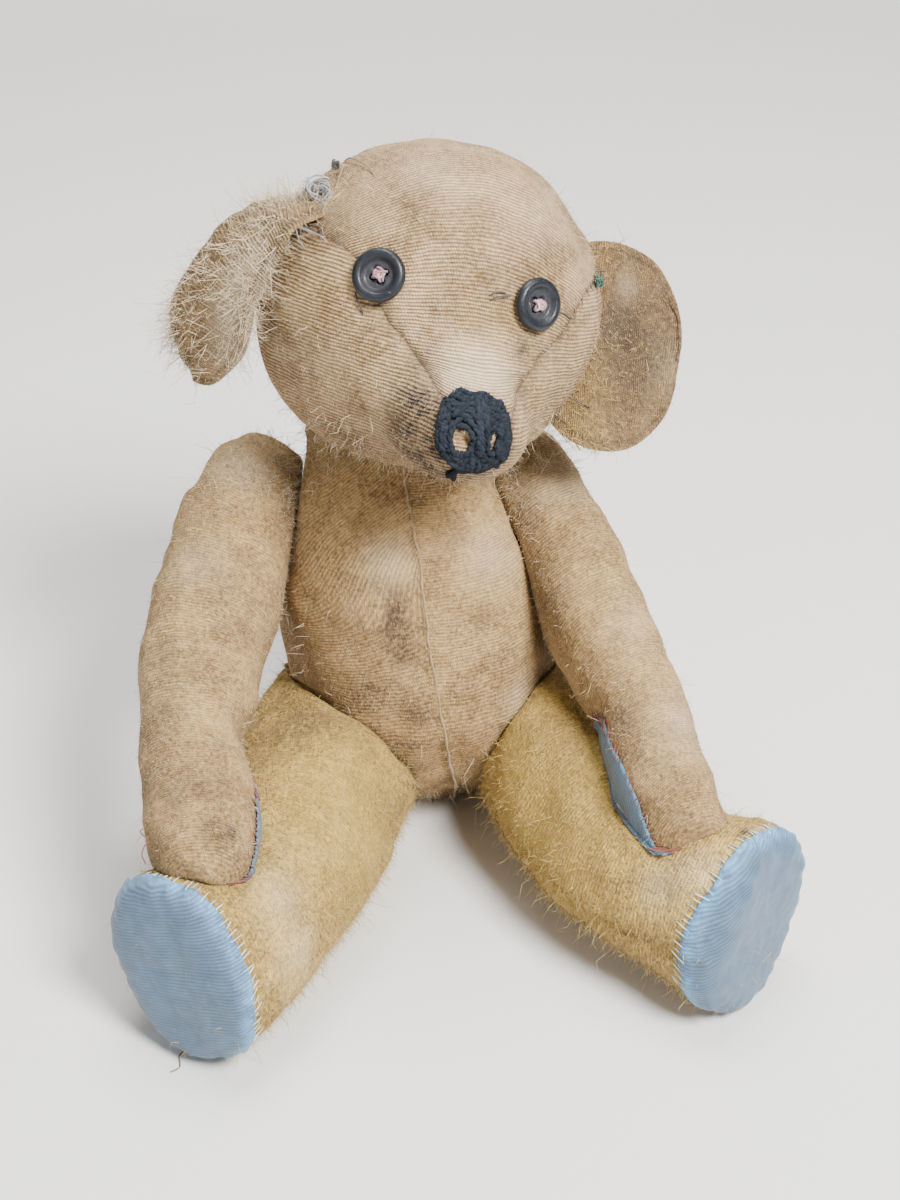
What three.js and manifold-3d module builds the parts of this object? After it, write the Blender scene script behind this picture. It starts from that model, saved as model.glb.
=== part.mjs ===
// A worn, disc-jointed teddy bear that sits on the floor with its legs forward.
//
// Lengths are in millimetres and angles in degrees. +Z is up, the bear faces -Y, and +X is the side of
// its own left hand. The origin is on the floor, in the flat under its seat.
//
// The head, torso, arms and legs are stuffed and closed, and each turns on a disc joint: a board disc
// and a washer lie behind the cloth on each side of the joint, and a split pin through the middle draws
// the two discs together. The stuffed forms are solid here, with a pocket for each disc that opens
// along its pin.

import * as THREE from "three";
import { mergeVertices } from "three/addons/utils/BufferGeometryUtils.js";
import Module from "manifold-3d";

const wasm = await Module();
wasm.setup();

// ---------------------------------------------------------------- driving dimensions

// Stations of the torso from its seat up: x, y, z of its middle, then half width and half depth.
// The bear leans to its right, so the middle drifts to -X.
const TORSO = {
  stations: [
    [6, 14, -8, 36, 36],
    [4, 1, 22, 45, 47],
    [-3, -6, 54, 49.5, 57],
    [-8, -4, 88, 47, 50],
    [-12, 1, 120, 43, 40],
    [-13, 3, 154, 41, 35],
  ],
};

// at is a joint's middle; tilt and turn set its axis.
const NECK = { at: [-13, 3, 147], tiltLeft: 16, discRadius: 19 };
const SHOULDER = { middle: [-12.5, -1, 110], apart: 34, rise: 8, discRadius: 13.5, hollow: 26 };
const HIP = { middle: [4, -16, 37], apart: 17.5, dip: 25, discRadius: 17, hollow: 28 };

const HEAD = { turnLeft: 8, height: 43, forward: 8, skull: [58, 51, 56] };

// Stations of an arm that hangs from its shoulder joint: outward, y, z, then half width and half
// thickness. raise swings it forward and splay turns it outward.
const ARM = {
  raise: { left: 66, right: 67 },
  splay: { left: 13, right: 8 },
  // How far each elbow is pushed out and its paw drawn in.
  bow: { left: 0, right: 4 },
  girth: { left: 0.92, right: 1.08 }, // how well filled each is, across its thickness
  stations: [
    [15, 1, 24, 24, 20],
    [15.5, 0, 2, 24, 20.5],
    [18, 1, -38, 23, 20.5],
    [18, 1, -80, 20.5, 18],
    [15, -2, -119, 19.5, 17],
    [12, -7, -153, 24, 19],
  ],
};

// Stations of a leg that points along -Y from its hip joint: outward, y, z, then half height and half
// thickness.
const LEG = {
  splay: { left: 20, right: 23 },
  bow: { left: -9, right: -2 }, // how far the shin sags inward
  slump: { left: 0.95, right: 1.01 }, // how far each is drawn out along its length
  stations: [
    [19, 29, 0, 27, 26],
    [19, 2, -1, 30, 31],
    [17, -38, -1, 31, 32],
    [15, -80, -3, 30, 30],
    [17, -118, -2, 27, 29],
    [22, -154, 6, 36, 27],
  ],
};

// Ears from the head out to the tip, about the middle of the head: x, y, z, half thickness, half width.
const EAR = {
  left: {
    across: [0.36, 0.57, 0.74],
    stations: [
      [36, -9, -8, 2, 29],
      [53, -9, -11, 2.2, 33],
      [68, -9, -15, 2.2, 32],
      [84, -9, -20, 1.8, 25],
    ],
  },
  right: {
    across: [0.6, -0.75, 0.25],
    stations: [
      [-32, -6, 41, 2, 16],
      [-49, -9, 37, 2.2, 19],
      [-63, -11, 23, 2.2, 22],
      [-71, -13, 4, 2.2, 23],
      [-73, -15, -15, 1.8, 19],
    ],
  },
};

// Directions from the middle of the head to the eyes.
const EYES = { left: [31, -41, 19], right: [-20, -42, 32] };

const BUTTON = {
  radius: 8.5,
  edge: 2.4, // height of the rounded edge
  thickness: 3.4,
  rim: 2.6, // width of the raised rim
  well: 1.2, // depth inside the rim
  holeRadius: 1.1,
  holePitch: 1.9,
};
const THREAD = { radius: 0.65, crossing: 0.9 };

// Cloth pads and the stitched nose lie over the plush with a little air under them.
const PATCH = { cloth: 1.4, lift: 0.3 };
const FOOT_PAD = { wrap: 3.5 }; // how far it turns round the edge of the sole
const PAW_PAD = { centre: [0, 3, -128], radii: [15, 17, 31] };
const PAW_CLEARANCE = 2; // air between a paw and the leg that it lies over
const NOSE = { centre: [0, -76, -7], radii: [12.5, 16, 11.5] };

const JOINT = {
  cloth: 2, // cloth and the gather of stuffing between a disc and the joint's face
  gap: 0.25, // each side of the joint's face
  discThickness: 2.5,
  washerThickness: 1,
  washerRadius: 6.5,
  pinRadius: 1.6,
  slack: 0.5,
};

// ---------------------------------------------------------------- solids

const vector = (list) => new THREE.Vector3(...list);
const IDENTITY = new THREE.Matrix4();

// A closed triangle mesh as a solid, placed by a matrix.
function solidOf(geometry, matrix = IDENTITY) {
  const bare = new THREE.BufferGeometry();
  bare.setAttribute("position", geometry.getAttribute("position").clone());
  bare.setIndex(geometry.getIndex());
  const merged = mergeVertices(bare.applyMatrix4(matrix), 1e-4);
  const positions = new Float32Array(merged.attributes.position.array);
  const corners = new Uint32Array(merged.index.array);
  const build = () => {
    const mesh = new wasm.Mesh({ numProp: 3, vertProperties: positions, triVerts: corners });
    return new wasm.Manifold(mesh);
  };
  const made = build();
  if (made.volume() > 0) return made;
  for (let i = 0; i < corners.length; i += 3) {
    [corners[i + 1], corners[i + 2]] = [corners[i + 2], corners[i + 1]];
  }
  return build();
}

// A solid moved by a matrix.
const place = (solid, matrix) => solid.transform(matrix.elements);

// A solid as a mesh with its own material.
function piece(name, solid, finish) {
  const mesh = solid.getMesh();
  const positions = new Float32Array(mesh.numVert * 3);
  for (let i = 0; i < mesh.numVert; i++) {
    const start = i * mesh.numProp;
    positions.set(mesh.vertProperties.subarray(start, start + 3), i * 3);
  }
  const geometry = new THREE.BufferGeometry();
  geometry.setAttribute("position", new THREE.BufferAttribute(positions, 3));
  geometry.setIndex(new THREE.BufferAttribute(mesh.triVerts, 1));
  geometry.computeVertexNormals();
  const made = new THREE.Mesh(geometry, finish);
  made.name = name;
  return made;
}

const finish = (color, roughness, metalness = 0) =>
  new THREE.MeshStandardMaterial({ color, roughness, metalness });
const FINISHES = {
  plush: finish(0xb58f5c, 0.95),
  legPlush: finish(0xb79a55, 0.95),
  pad: finish(0x7d98a6, 0.6),
  button: finish(0x10151d, 0.35),
  thread: finish(0x6a4a4c, 0.9),
  yarn: finish(0x1b2226, 0.9),
  board: finish(0x8a6a45, 0.9),
  steel: finish(0x8f8f8c, 0.45, 1),
};

const X = new THREE.Vector3(1, 0, 0);
const FAR = 400;
const box = (size, at) => solidOf(new THREE.BoxGeometry(...size).translate(...at));
const below = (axis, level) => {
  const at = [0, 0, 0];
  at[axis] = level - FAR / 2;
  return box([FAR, FAR, FAR], at);
};

// ---------------------------------------------------------------- stuffed forms

const smooth = (points) => new THREE.CatmullRomCurve3(points, false, "catmullrom", 0.5);

// A stuffed tube: rings of rounded section carried along a spine, and rounded off at both ends.
// A station is x, y, z, the half size across the spine and the half size along "across". ends are
// the powers of the two caps, and square makes the section boxier above 2.
function stuffed({ stations, across, ends, square = 2.3, rings = 20, sectors = 18, grow = 0 }) {
  const spine = smooth(stations.map(([x, y, z]) => new THREE.Vector3(x, y, z)));
  const sizes = smooth(stations.map((station) => new THREE.Vector3(station[3], station[4], 0)));
  const geometry = new THREE.SphereGeometry(1, sectors, rings);
  const position = geometry.attributes.position;
  const unit = new THREE.Vector3();
  for (let i = 0; i < position.count; i++) {
    unit.fromBufferAttribute(position, i);
    const along = THREE.MathUtils.clamp((1 - unit.y) / 2, 0, 1);
    const power = along < 0.5 ? ends[0] : ends[1];
    const cap = Math.pow(Math.max(0, 1 - Math.pow(Math.abs(unit.y), power)), 1 / power);
    const turn = Math.atan2(unit.z, unit.x);
    const spread = Math.abs(Math.cos(turn)) ** square + Math.abs(Math.sin(turn)) ** square;
    const reach = cap * Math.pow(spread, -1 / square);
    const tangent = spine.getTangent(along);
    const side = across.clone().addScaledVector(tangent, -across.dot(tangent)).normalize();
    const normal = tangent.clone().cross(side);
    const size = sizes.getPoint(along);
    const at = spine.getPoint(along);
    at.addScaledVector(normal, (size.x + grow) * reach * Math.cos(turn));
    at.addScaledVector(side, (size.y + grow) * reach * Math.sin(turn));
    at.addScaledVector(tangent, -grow * unit.y);
    position.setXYZ(i, at.x, at.y, at.z);
  }
  return solidOf(geometry);
}

const HOLLOW_SECTORS = 16;
const DISC_SECTORS = 16;
const PIN_SECTORS = 8;

const torsoForm = (grow = 0) =>
  stuffed({
    stations: TORSO.stations,
    across: new THREE.Vector3(0, 1, 0),
    ends: [2.6, 2.6],
    rings: 16,
    sectors: 20,
    grow,
  });

// The torso with some room round it, in a limb's frame, less what is hollowed for that limb. It
// shapes the limb where it bears on the belly.
const torsoWithRoom = (hollow, matrix) =>
  place(torsoForm(0.6), matrix).subtract(rod(hollow - 1, -1, FAR, HOLLOW_SECTORS));

// Stations pushed sideways by a share of "by" each.
const bowed = (stations, by, shares) =>
  stations.map(([x, ...rest], k) => [x + by * shares[k], ...rest]);

const armForm = (side, grow = 0) =>
  stuffed({
    stations: bowed(
      ARM.stations.map(([x, y, z, wide, thick]) => [
        x * ARM.girth[side], y, z, wide, thick * ARM.girth[side],
      ]),
      ARM.bow[side],
      [0, 0, 0.7, 1, 0.3, -0.7],
    ),
    across: X,
    ends: [3, 3.6],
    rings: 16,
    sectors: 14,
    grow,
  });

const legStations = (side) =>
  bowed(
    LEG.stations.map(([x, y, ...rest]) => [x, y * LEG.slump[side], ...rest]),
    LEG.bow[side],
    [0, 0, 0.6, 1, 0.8, 0],
  );

const legForm = (side, grow = 0) =>
  stuffed({
    stations: legStations(side),
    across: X,
    ends: [3, 8],
    rings: 16,
    sectors: 16,
    grow,
  });

// All that lies past the edge of the sole, square to the end of the leg.
function pastSole(side) {
  const spine = smooth(legStations(side).map(([x, y, z]) => new THREE.Vector3(x, y, z)));
  const out = spine.getTangent(1);
  const square = new THREE.Matrix4().makeRotationFromQuaternion(
    new THREE.Quaternion().setFromUnitVectors(new THREE.Vector3(-1, 0, 0), out),
  );
  square.setPosition(spine.getPoint(1));
  return place(below(0, FOOT_PAD.wrap), square);
}

// ---------------------------------------------------------------- disc joints

// Each joint's own frame has its origin on the joint's face and +X out of the torso.
// A turned form about that axis, from [radius, x] points; it closes on itself or on the axis.
function turned(profile, sectors) {
  const points = profile.map(([r, x]) => new THREE.Vector2(r, x));
  return solidOf(new THREE.LatheGeometry(points, sectors).rotateZ(-Math.PI / 2));
}

const ring = (inner, outer, from, to, sectors) =>
  turned([[inner, from], [outer, from], [outer, to], [inner, to], [inner, from]], sectors);

const rod = (radius, from, to, sectors) =>
  turned([[0, from], [radius, from], [radius, to], [0, to]], sectors);

const discFace = JOINT.gap + JOINT.cloth + JOINT.slack;
const washerFace = discFace + JOINT.discThickness + JOINT.slack;
const washerBack = washerFace + JOINT.washerThickness;
const pinEnd = washerBack + 0.8;
const pocketEnd = pinEnd + 5.4;

// The pocket cut in a stuffed form, on the torso's side (-1) or the limb's side (+1) of a joint.
function pocket(discRadius, side) {
  const hole = JOINT.pinRadius + 1;
  const wide = discRadius + JOINT.slack;
  const behind = JOINT.washerRadius + 0.6;
  const steps = [
    [0, -3],
    [hole, -3],
    [hole, JOINT.gap + JOINT.cloth],
    [wide, JOINT.gap + JOINT.cloth],
    [wide, washerFace - JOINT.slack / 2],
    [behind, washerFace - JOINT.slack / 2],
    [behind, pocketEnd],
    [0, pocketEnd],
  ];
  return turned(steps.map(([r, x]) => [r, side * x]), DISC_SECTORS);
}

// A split pin: an eye at the limb's end, a round shank, and two legs curled back over the torso's
// washer.
function splitPin() {
  const eye = new THREE.TorusGeometry(2.2, 0.9, 4, 8).translate(pinEnd + 2, 0, 0);
  const parts = [rod(JOINT.pinRadius, -pinEnd, pinEnd, PIN_SECTORS), solidOf(eye)];
  for (const way of [1, -1]) {
    const leg = new THREE.Shape();
    leg.moveTo(-pinEnd + 0.4, way * -0.4);
    leg.lineTo(-pinEnd - 1.6, way * 0.2);
    leg.quadraticCurveTo(-pinEnd - 4.4, way * 2.6, -pinEnd - 0.6, way * 5.4);
    leg.lineTo(-pinEnd + 0.3, way * 4.8);
    leg.quadraticCurveTo(-pinEnd - 2.2, way * 2.8, -pinEnd + 0.4, way * 1.2);
    leg.closePath();
    const bent = new THREE.ExtrudeGeometry(leg, { depth: 2, bevelEnabled: false, curveSegments: 2 });
    parts.push(solidOf(bent.translate(0, 0, -1)));
  }
  return wasm.Manifold.union(parts);
}

// The discs, washers and pin of one joint, in its own frame.
function jointPieces(name, limb, discRadius) {
  const hole = JOINT.pinRadius + JOINT.slack;
  const discBack = discFace + JOINT.discThickness;
  const disc = (side) => ring(hole, discRadius, side * discFace, side * discBack, DISC_SECTORS);
  const washer = (side) =>
    ring(hole, JOINT.washerRadius, side * washerFace, side * washerBack, PIN_SECTORS);
  return [
    piece(`${name}_torso_disc`, disc(-1), FINISHES.board),
    piece(`${name}_torso_washer`, washer(-1), FINISHES.steel),
    piece(`${name}_split_pin`, splitPin(), FINISHES.steel),
    piece(`${name}_${limb}_disc`, disc(1), FINISHES.board),
    piece(`${name}_${limb}_washer`, washer(1), FINISHES.steel),
  ];
}

// ---------------------------------------------------------------- frames

const Y = new THREE.Vector3(0, 1, 0);
const Z = new THREE.Vector3(0, 0, 1);
const turn = (axis, angle) =>
  new THREE.Matrix4().makeRotationAxis(axis, THREE.MathUtils.degToRad(angle));
const shift = (x, y, z) => new THREE.Matrix4().makeTranslation(x, y, z);
const scale = (by) => new THREE.Matrix4().makeScale(...by);
const compose = (...steps) => steps.reduce((all, step) => all.multiply(step), new THREE.Matrix4());

// A joint's frame at one side of the torso. sideways is +1 for the bear's left and -1 for its right;
// on the right the frame is turned about, so a limb that was shaped for the left is mirrored in Y.
function jointFrame(joint, sideways, splay, dip) {
  const [x, y, z] = joint.middle;
  const facing = sideways > 0 ? splay : 180 - splay;
  return compose(shift(x + sideways * joint.apart, y, z), turn(Z, facing), turn(Y, dip));
}
const forSide = (solid, sideways) => (sideways > 0 ? solid : solid.mirror([0, 1, 0]));

const neckFrame = compose(shift(...NECK.at), turn(Y, NECK.tiltLeft));
const neckJointFrame = compose(neckFrame, turn(Y, -90));
const headFrame = compose(neckFrame, turn(Z, HEAD.turnLeft), shift(0, -HEAD.forward, HEAD.height));
const headCentre = new THREE.Vector3().setFromMatrixPosition(headFrame);
const headTurn = new THREE.Matrix4().extractRotation(headFrame);

// ---------------------------------------------------------------- head

// The far distance from the head's middle to an ellipsoid, along a direction.
function reachOf(direction, centre, radii) {
  const d = direction.clone().divide(radii);
  const c = centre.clone().divide(radii);
  const a = d.lengthSq();
  const b = d.dot(c);
  return (b + Math.sqrt(Math.max(0, b * b - a * (c.lengthSq() - 1)))) / a;
}

const softMax = (values, softness) =>
  softness * Math.log(values.reduce((sum, value) => sum + Math.exp(value / softness), 0));

const MUZZLE = {
  lumps: [
    { centre: [0, -26, -8], radii: [36, 36, 30] },
    { centre: [0, -50, -12], radii: [23, 28, 18.5] },
  ],
  softness: 3,
};

// The head's surface: the skull and the muzzle, blended, as a distance along each direction from its
// middle.
function headReach(direction, grow = 0) {
  const skull = reachOf(direction, new THREE.Vector3(), vector(HEAD.skull));
  const lumps = MUZZLE.lumps.map(({ centre, radii }) =>
    reachOf(direction, vector(centre), vector(radii)),
  );
  return softMax([skull, ...lumps], MUZZLE.softness) + grow;
}

// The head's rings run round its muzzle, and crowd towards the nose.
function headForm(grow = 0) {
  const geometry = new THREE.SphereGeometry(1, 20, 20);
  const position = geometry.attributes.position;
  const direction = new THREE.Vector3();
  for (let i = 0; i < position.count; i++) {
    direction.fromBufferAttribute(position, i);
    const share = Math.acos(THREE.MathUtils.clamp(-direction.y, -1, 1)) / Math.PI;
    const fromNose = Math.PI * Math.pow(share, 1.35);
    const round = Math.atan2(direction.z, direction.x);
    direction.set(
      Math.sin(fromNose) * Math.cos(round),
      -Math.cos(fromNose),
      Math.sin(fromNose) * Math.sin(round),
    );
    direction.multiplyScalar(headReach(direction, grow));
    position.setXYZ(i, direction.x, direction.y, direction.z);
  }
  return solidOf(geometry, headFrame);
}

// A frame on the head's surface, with +Z out of the cloth.
function faceFrame(towards) {
  const world = vector(towards).normalize();
  const local = world.clone().transformDirection(headTurn.clone().invert());
  const pointAt = (d) => d.clone().multiplyScalar(headReach(d)).applyMatrix4(headFrame);
  const across = new THREE.Vector3(local.y, -local.x, 0).normalize();
  const upward = across.clone().cross(local).normalize();
  const step = 0.04;
  const near = (v, s) => pointAt(local.clone().addScaledVector(v, s).normalize());
  const alongX = near(across, step).sub(near(across, -step));
  const alongY = near(upward, step).sub(near(upward, -step));
  const out = alongX.clone().cross(alongY).normalize();
  if (out.dot(world) < 0) out.negate();
  const side = alongX.normalize();
  const up = out.clone().cross(side);
  const at = pointAt(local);
  return new THREE.Matrix4().makeBasis(side, up, out).setPosition(at);
}

// ---------------------------------------------------------------- small pieces

// An ellipsoid of a patch's centre and radii.
const ellipsoid = ({ centre, radii }, matrix = IDENTITY) =>
  solidOf(new THREE.SphereGeometry(1, 14, 8), compose(matrix, shift(...centre), scale(radii)));

// Turned about +Z from [radius, z] points.
const turnedUp = (profile, sectors) => place(turned(profile, sectors), turn(Y, -90));

const HOLES = [45, 135, 225, 315].map((angle) => {
  const radians = THREE.MathUtils.degToRad(angle);
  return [BUTTON.holePitch * Math.cos(radians), BUTTON.holePitch * Math.sin(radians)];
});
const standing = ([x, y], radius, from, to, sectors) =>
  turnedUp([[0, from], [radius, from], [radius, to], [0, to]], sectors).translate([x, y, 0]);

// A four-hole coat button with a broad rim round a sunk middle, standing just off the cloth.
function button() {
  const { radius, edge, thickness, rim, well, holeRadius } = BUTTON;
  const base = PATCH.lift;
  const profile = [
    [0, base],
    [radius - 1.4, base],
    [radius, base + 1],
    [radius, base + edge],
    [radius - 0.9, base + thickness],
    [radius - rim, base + thickness],
    [radius - rim - 1.3, base + thickness - well],
    [0, base + thickness - well],
  ];
  const holes = HOLES.map((at) => standing(at, holeRadius, -1, 8, 6));
  return turnedUp(profile, 18).subtract(wasm.Manifold.union(holes));
}

// Thread up through each hole, crossing in the middle of the button.
function eyeThread() {
  const top = PATCH.lift + BUTTON.thickness - BUTTON.well + 0.3;
  const posts = HOLES.map((at) => standing(at, THREAD.radius, PATCH.lift, top + THREAD.crossing, 6));
  const reach = 2 * BUTTON.holePitch + THREAD.radius;
  const bars = [45, 135].map((angle) =>
    place(
      box([reach, 2 * THREAD.radius, THREAD.crossing], [0, 0, top + THREAD.crossing / 2]),
      turn(Z, angle),
    ),
  );
  return wasm.Manifold.union([...posts, ...bars]);
}

// ---------------------------------------------------------------- building

const bear = new THREE.Group();

function held(matrix, meshes) {
  const group = new THREE.Group();
  group.applyMatrix4(matrix);
  group.add(...meshes);
  bear.add(group);
}

const SIDES = [["left", 1], ["right", -1]];
const shoulderFrames = SIDES.map(([side, way]) =>
  jointFrame(SHOULDER, way, ARM.splay[side], -SHOULDER.rise),
);
const hipFrames = SIDES.map(([side, way]) => jointFrame(HIP, way, LEG.splay[side], HIP.dip));

const floor = below(2, 0);

// The torso is flattened where a limb bears on it.
let torso = torsoForm().subtract(floor);
for (const frame of shoulderFrames) {
  torso = torso.subtract(place(rod(SHOULDER.hollow, -JOINT.gap, FAR, HOLLOW_SECTORS), frame));
  torso = torso.subtract(place(pocket(SHOULDER.discRadius, -1), frame));
}
for (const frame of hipFrames) {
  torso = torso.subtract(place(rod(HIP.hollow, -JOINT.gap, FAR, HOLLOW_SECTORS), frame));
  torso = torso.subtract(place(pocket(HIP.discRadius, -1), frame));
}
torso = torso.subtract(place(rod(FAR / 2, -JOINT.gap, FAR, 24), neckJointFrame));
torso = torso.subtract(place(pocket(NECK.discRadius, -1), neckJointFrame));
bear.add(piece("torso", torso, FINISHES.plush));

const head = headForm()
  .subtract(place(below(0, JOINT.gap), neckJointFrame))
  .subtract(place(pocket(NECK.discRadius, 1), neckJointFrame));
bear.add(piece("head", head, FINISHES.plush));
held(neckJointFrame, jointPieces("neck", "head", NECK.discRadius));

SIDES.forEach(([side, way], k) => {
  const toHip = hipFrames[k].clone().invert();
  const toShoulder = shoulderFrames[k].clone().invert();
  const floorAtHip = place(floor, toHip);

  // The thigh is flat against its disc, and gives way to the belly wherever they meet as it turns.
  const legSolid = (grow) => forSide(legForm(side, grow), way);
  const belly = torsoWithRoom(HIP.hollow, toHip);
  let leg = legSolid(0)
    .subtract(rod(HIP.hollow + 3, -40, JOINT.gap, HOLLOW_SECTORS))
    .subtract(floorAtHip)
    .subtract(pocket(HIP.discRadius, 1));
  for (const angle of [0, 15, 30]) leg = leg.subtract(place(belly, turn(X, -way * angle)));
  const sole = legSolid(PATCH.lift + PATCH.cloth)
    .subtract(legSolid(PATCH.lift))
    .intersect(forSide(pastSole(side), way))
    .subtract(floorAtHip);
  held(hipFrames[k], [
    piece(`${side}_leg`, leg, FINISHES.legPlush),
    piece(`${side}_foot_pad`, sole, FINISHES.pad),
    ...jointPieces(`${side}_hip`, "leg", HIP.discRadius),
  ]);

  // The paw is flattened where it rests on the leg.
  const swing = turn(X, -ARM.raise[side]);
  const armSolid = (grow) => place(armForm(side, grow), swing);
  const underPaw = place(legSolid(PAW_CLEARANCE), compose(toShoulder, hipFrames[k]));
  const arm = forSide(armSolid(0), way)
    .subtract(below(0, JOINT.gap))
    .subtract(underPaw)
    .subtract(torsoWithRoom(SHOULDER.hollow, toShoulder))
    .subtract(pocket(SHOULDER.discRadius, 1));
  const palm = forSide(
    armSolid(PATCH.lift + PATCH.cloth)
      .subtract(armSolid(PATCH.lift))
      .intersect(ellipsoid(PAW_PAD, swing)),
    way,
  ).subtract(underPaw);
  held(shoulderFrames[k], [
    piece(`${side}_arm`, arm, FINISHES.plush),
    piece(`${side}_paw_pad`, palm, FINISHES.pad),
    ...jointPieces(`${side}_shoulder`, "arm", SHOULDER.discRadius),
  ]);
});

// Ears, eyes and nose are sewn on over the head's cloth.
const overHead = headForm(PATCH.lift);
for (const [side] of SIDES) {
  const { stations, across } = EAR[side];
  const flap = stuffed({ stations, across: vector(across), ends: [4, 3], rings: 14, sectors: 10 });
  const ear = place(flap, shift(...headCentre.toArray())).subtract(overHead);
  bear.add(piece(`${side}_ear`, ear, FINISHES.plush));
  held(faceFrame(EYES[side]), [
    piece(`${side}_eye_button`, button(), FINISHES.button),
    piece(`${side}_eye_thread`, eyeThread(), FINISHES.thread),
  ]);
}
const stitched = headForm(PATCH.lift + PATCH.cloth).subtract(overHead);
const nose = stitched.intersect(ellipsoid(NOSE, headFrame));
bear.add(piece("nose_stitching", nose, FINISHES.yarn));

export default bear;
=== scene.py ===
import math

import bpy
import numpy as np
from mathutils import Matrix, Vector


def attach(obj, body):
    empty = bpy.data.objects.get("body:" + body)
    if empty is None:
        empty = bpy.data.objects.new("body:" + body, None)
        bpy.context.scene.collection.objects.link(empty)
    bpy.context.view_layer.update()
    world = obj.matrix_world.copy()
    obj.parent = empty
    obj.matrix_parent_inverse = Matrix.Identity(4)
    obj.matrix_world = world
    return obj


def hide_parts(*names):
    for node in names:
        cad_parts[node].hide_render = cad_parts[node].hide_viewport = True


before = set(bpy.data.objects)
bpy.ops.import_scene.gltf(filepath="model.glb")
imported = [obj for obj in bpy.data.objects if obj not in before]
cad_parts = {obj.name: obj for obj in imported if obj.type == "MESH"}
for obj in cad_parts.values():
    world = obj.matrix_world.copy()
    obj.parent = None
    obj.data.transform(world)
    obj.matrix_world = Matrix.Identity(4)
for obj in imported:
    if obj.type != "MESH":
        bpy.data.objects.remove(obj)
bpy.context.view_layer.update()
print("frame loaded:", len(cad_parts), "nodes")

# Lengths below are in millimetres and angles in degrees, until a mesh is made.
# +X is the bear's left, -Y is the way it faces and +Z is up.
metre = 0.001
xAxis, yAxis, zAxis = np.eye(3)
chance = np.random.default_rng(7)


# frames

def shift(x, y, z):
    matrix = np.eye(4)
    matrix[:3, 3] = x, y, z
    return matrix


# Turning about an axis: the identity, plus sin times the axis's cross matrix, plus 1 - cos times its square.
def turnAbout(axis, degrees):
    sine, cosine = math.sin(math.radians(degrees)), math.cos(math.radians(degrees))
    x, y, z = axis
    cross = np.array([[0, -z, y], [z, 0, -x], [-y, x, 0]])
    matrix = np.eye(4)
    matrix[:3, :3] = np.eye(3) + sine * cross + (1 - cosine) * (cross @ cross)
    return matrix


def placed(points, matrix):
    return points @ matrix[:3, :3].T + matrix[:3, 3]


def mirrored(points, way):
    return points * np.array([1, way, 1])


# A limb joint's frame has its origin on the joint's face and +X out of the torso.
def jointFrame(joint, way, splay, dip):
    x, y, z = joint["middle"]
    facing = splay if way > 0 else 180 - splay
    return shift(x + way * joint["apart"], y, z) @ turnAbout(zAxis, facing) @ turnAbout(yAxis, dip)


# shaping

def unit(vectors):
    return vectors / np.maximum(np.linalg.norm(vectors, axis=-1, keepdims=True), 1e-12)


def smoothStep(value, low, high):
    share = np.clip((value - low) / (high - low), 0, 1)
    return share * share * (3 - 2 * share)


# The larger of two values with the corner between them rounded off: softness times the log of the
# sum of their exponentials.
def roundedMax(a, b, softness):
    return softness * np.logaddexp(a / softness, b / softness)


def roundedMin(a, b, softness):
    return -roundedMax(-a, -b, softness)


def bell(distance, width):
    return np.exp(-((distance / width) ** 2))


# A smooth bumpy field from -1 to 1: the mean of plane waves in many directions and near one length.
def lumps(points, size, seed, waves=14):
    pick = np.random.default_rng(seed)
    aim = unit(pick.normal(size=(waves, 3))) * (pick.uniform(0.7, 1.5, (waves, 1)) * 2 * math.pi / size)
    phase = pick.uniform(0, 2 * math.pi, waves)
    return np.sin(points @ aim.T + phase).sum(-1) / math.sqrt(waves)


# Folds in cloth: each is a dip with raised edges about a short line. A fold gives the line's middle,
# its direction, half its length, its half width and its depth.
def folds(points, marks):
    total = np.zeros(points.shape[:-1])
    for at, direction, length, width, depth in marks:
        heading = unit(np.array(direction, float))
        off = points - np.array(at, float)
        along = off @ heading
        away = np.linalg.norm(off - along[..., None] * heading, axis=-1)
        across = bell(away, width) - 0.45 * bell(away, 2.3 * width)
        total -= depth * across * np.exp(-((along / length) ** 4))
    return total


# A smooth curve through rows of numbers, and its slope: between two rows it is the cubic whose end
# slopes are half the difference of the rows on either side.
def throughRows(rows, along):
    count = len(rows) - 1
    ends = np.vstack([2 * rows[0] - rows[1], rows, 2 * rows[-1] - rows[-2]])
    step = np.clip(np.floor(along * count).astype(int), 0, count - 1)
    f = (along * count - step)[..., None]
    before, start, end, after = (ends[step + k] for k in range(4))
    slopeA, slopeB = (end - before) / 2, (after - start) / 2
    square = 3 * (end - start) - 2 * slopeA - slopeB
    cube = 2 * (start - end) + slopeA + slopeB
    value = start + slopeA * f + square * f**2 + cube * f**3
    return value, (slopeA + 2 * square * f + 3 * cube * f**2) * count


sectionPower = 2.3  # above 2 a stuffed section is a little boxy


# The middle, direction, two cross directions and two half sizes of a stuffed form along its spine.
def spineAt(form, along):
    rows = form["rows"]
    middle, slope = throughRows(rows[:, :3], along)
    size, _ = throughRows(rows[:, 3:5], along)
    heading = unit(slope)
    across = np.array(form["across"], float)
    side = unit(across - heading * (heading @ across)[..., None])
    return middle, heading, np.cross(heading, side), side, size


# How far the section is filled at a height from 1 to -1 along the spine: a rounded end cap.
def capAt(form, height):
    power = np.where(height > 0, *form["ends"])
    return np.maximum(0, 1 - np.abs(height) ** power) ** (1 / power)


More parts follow.
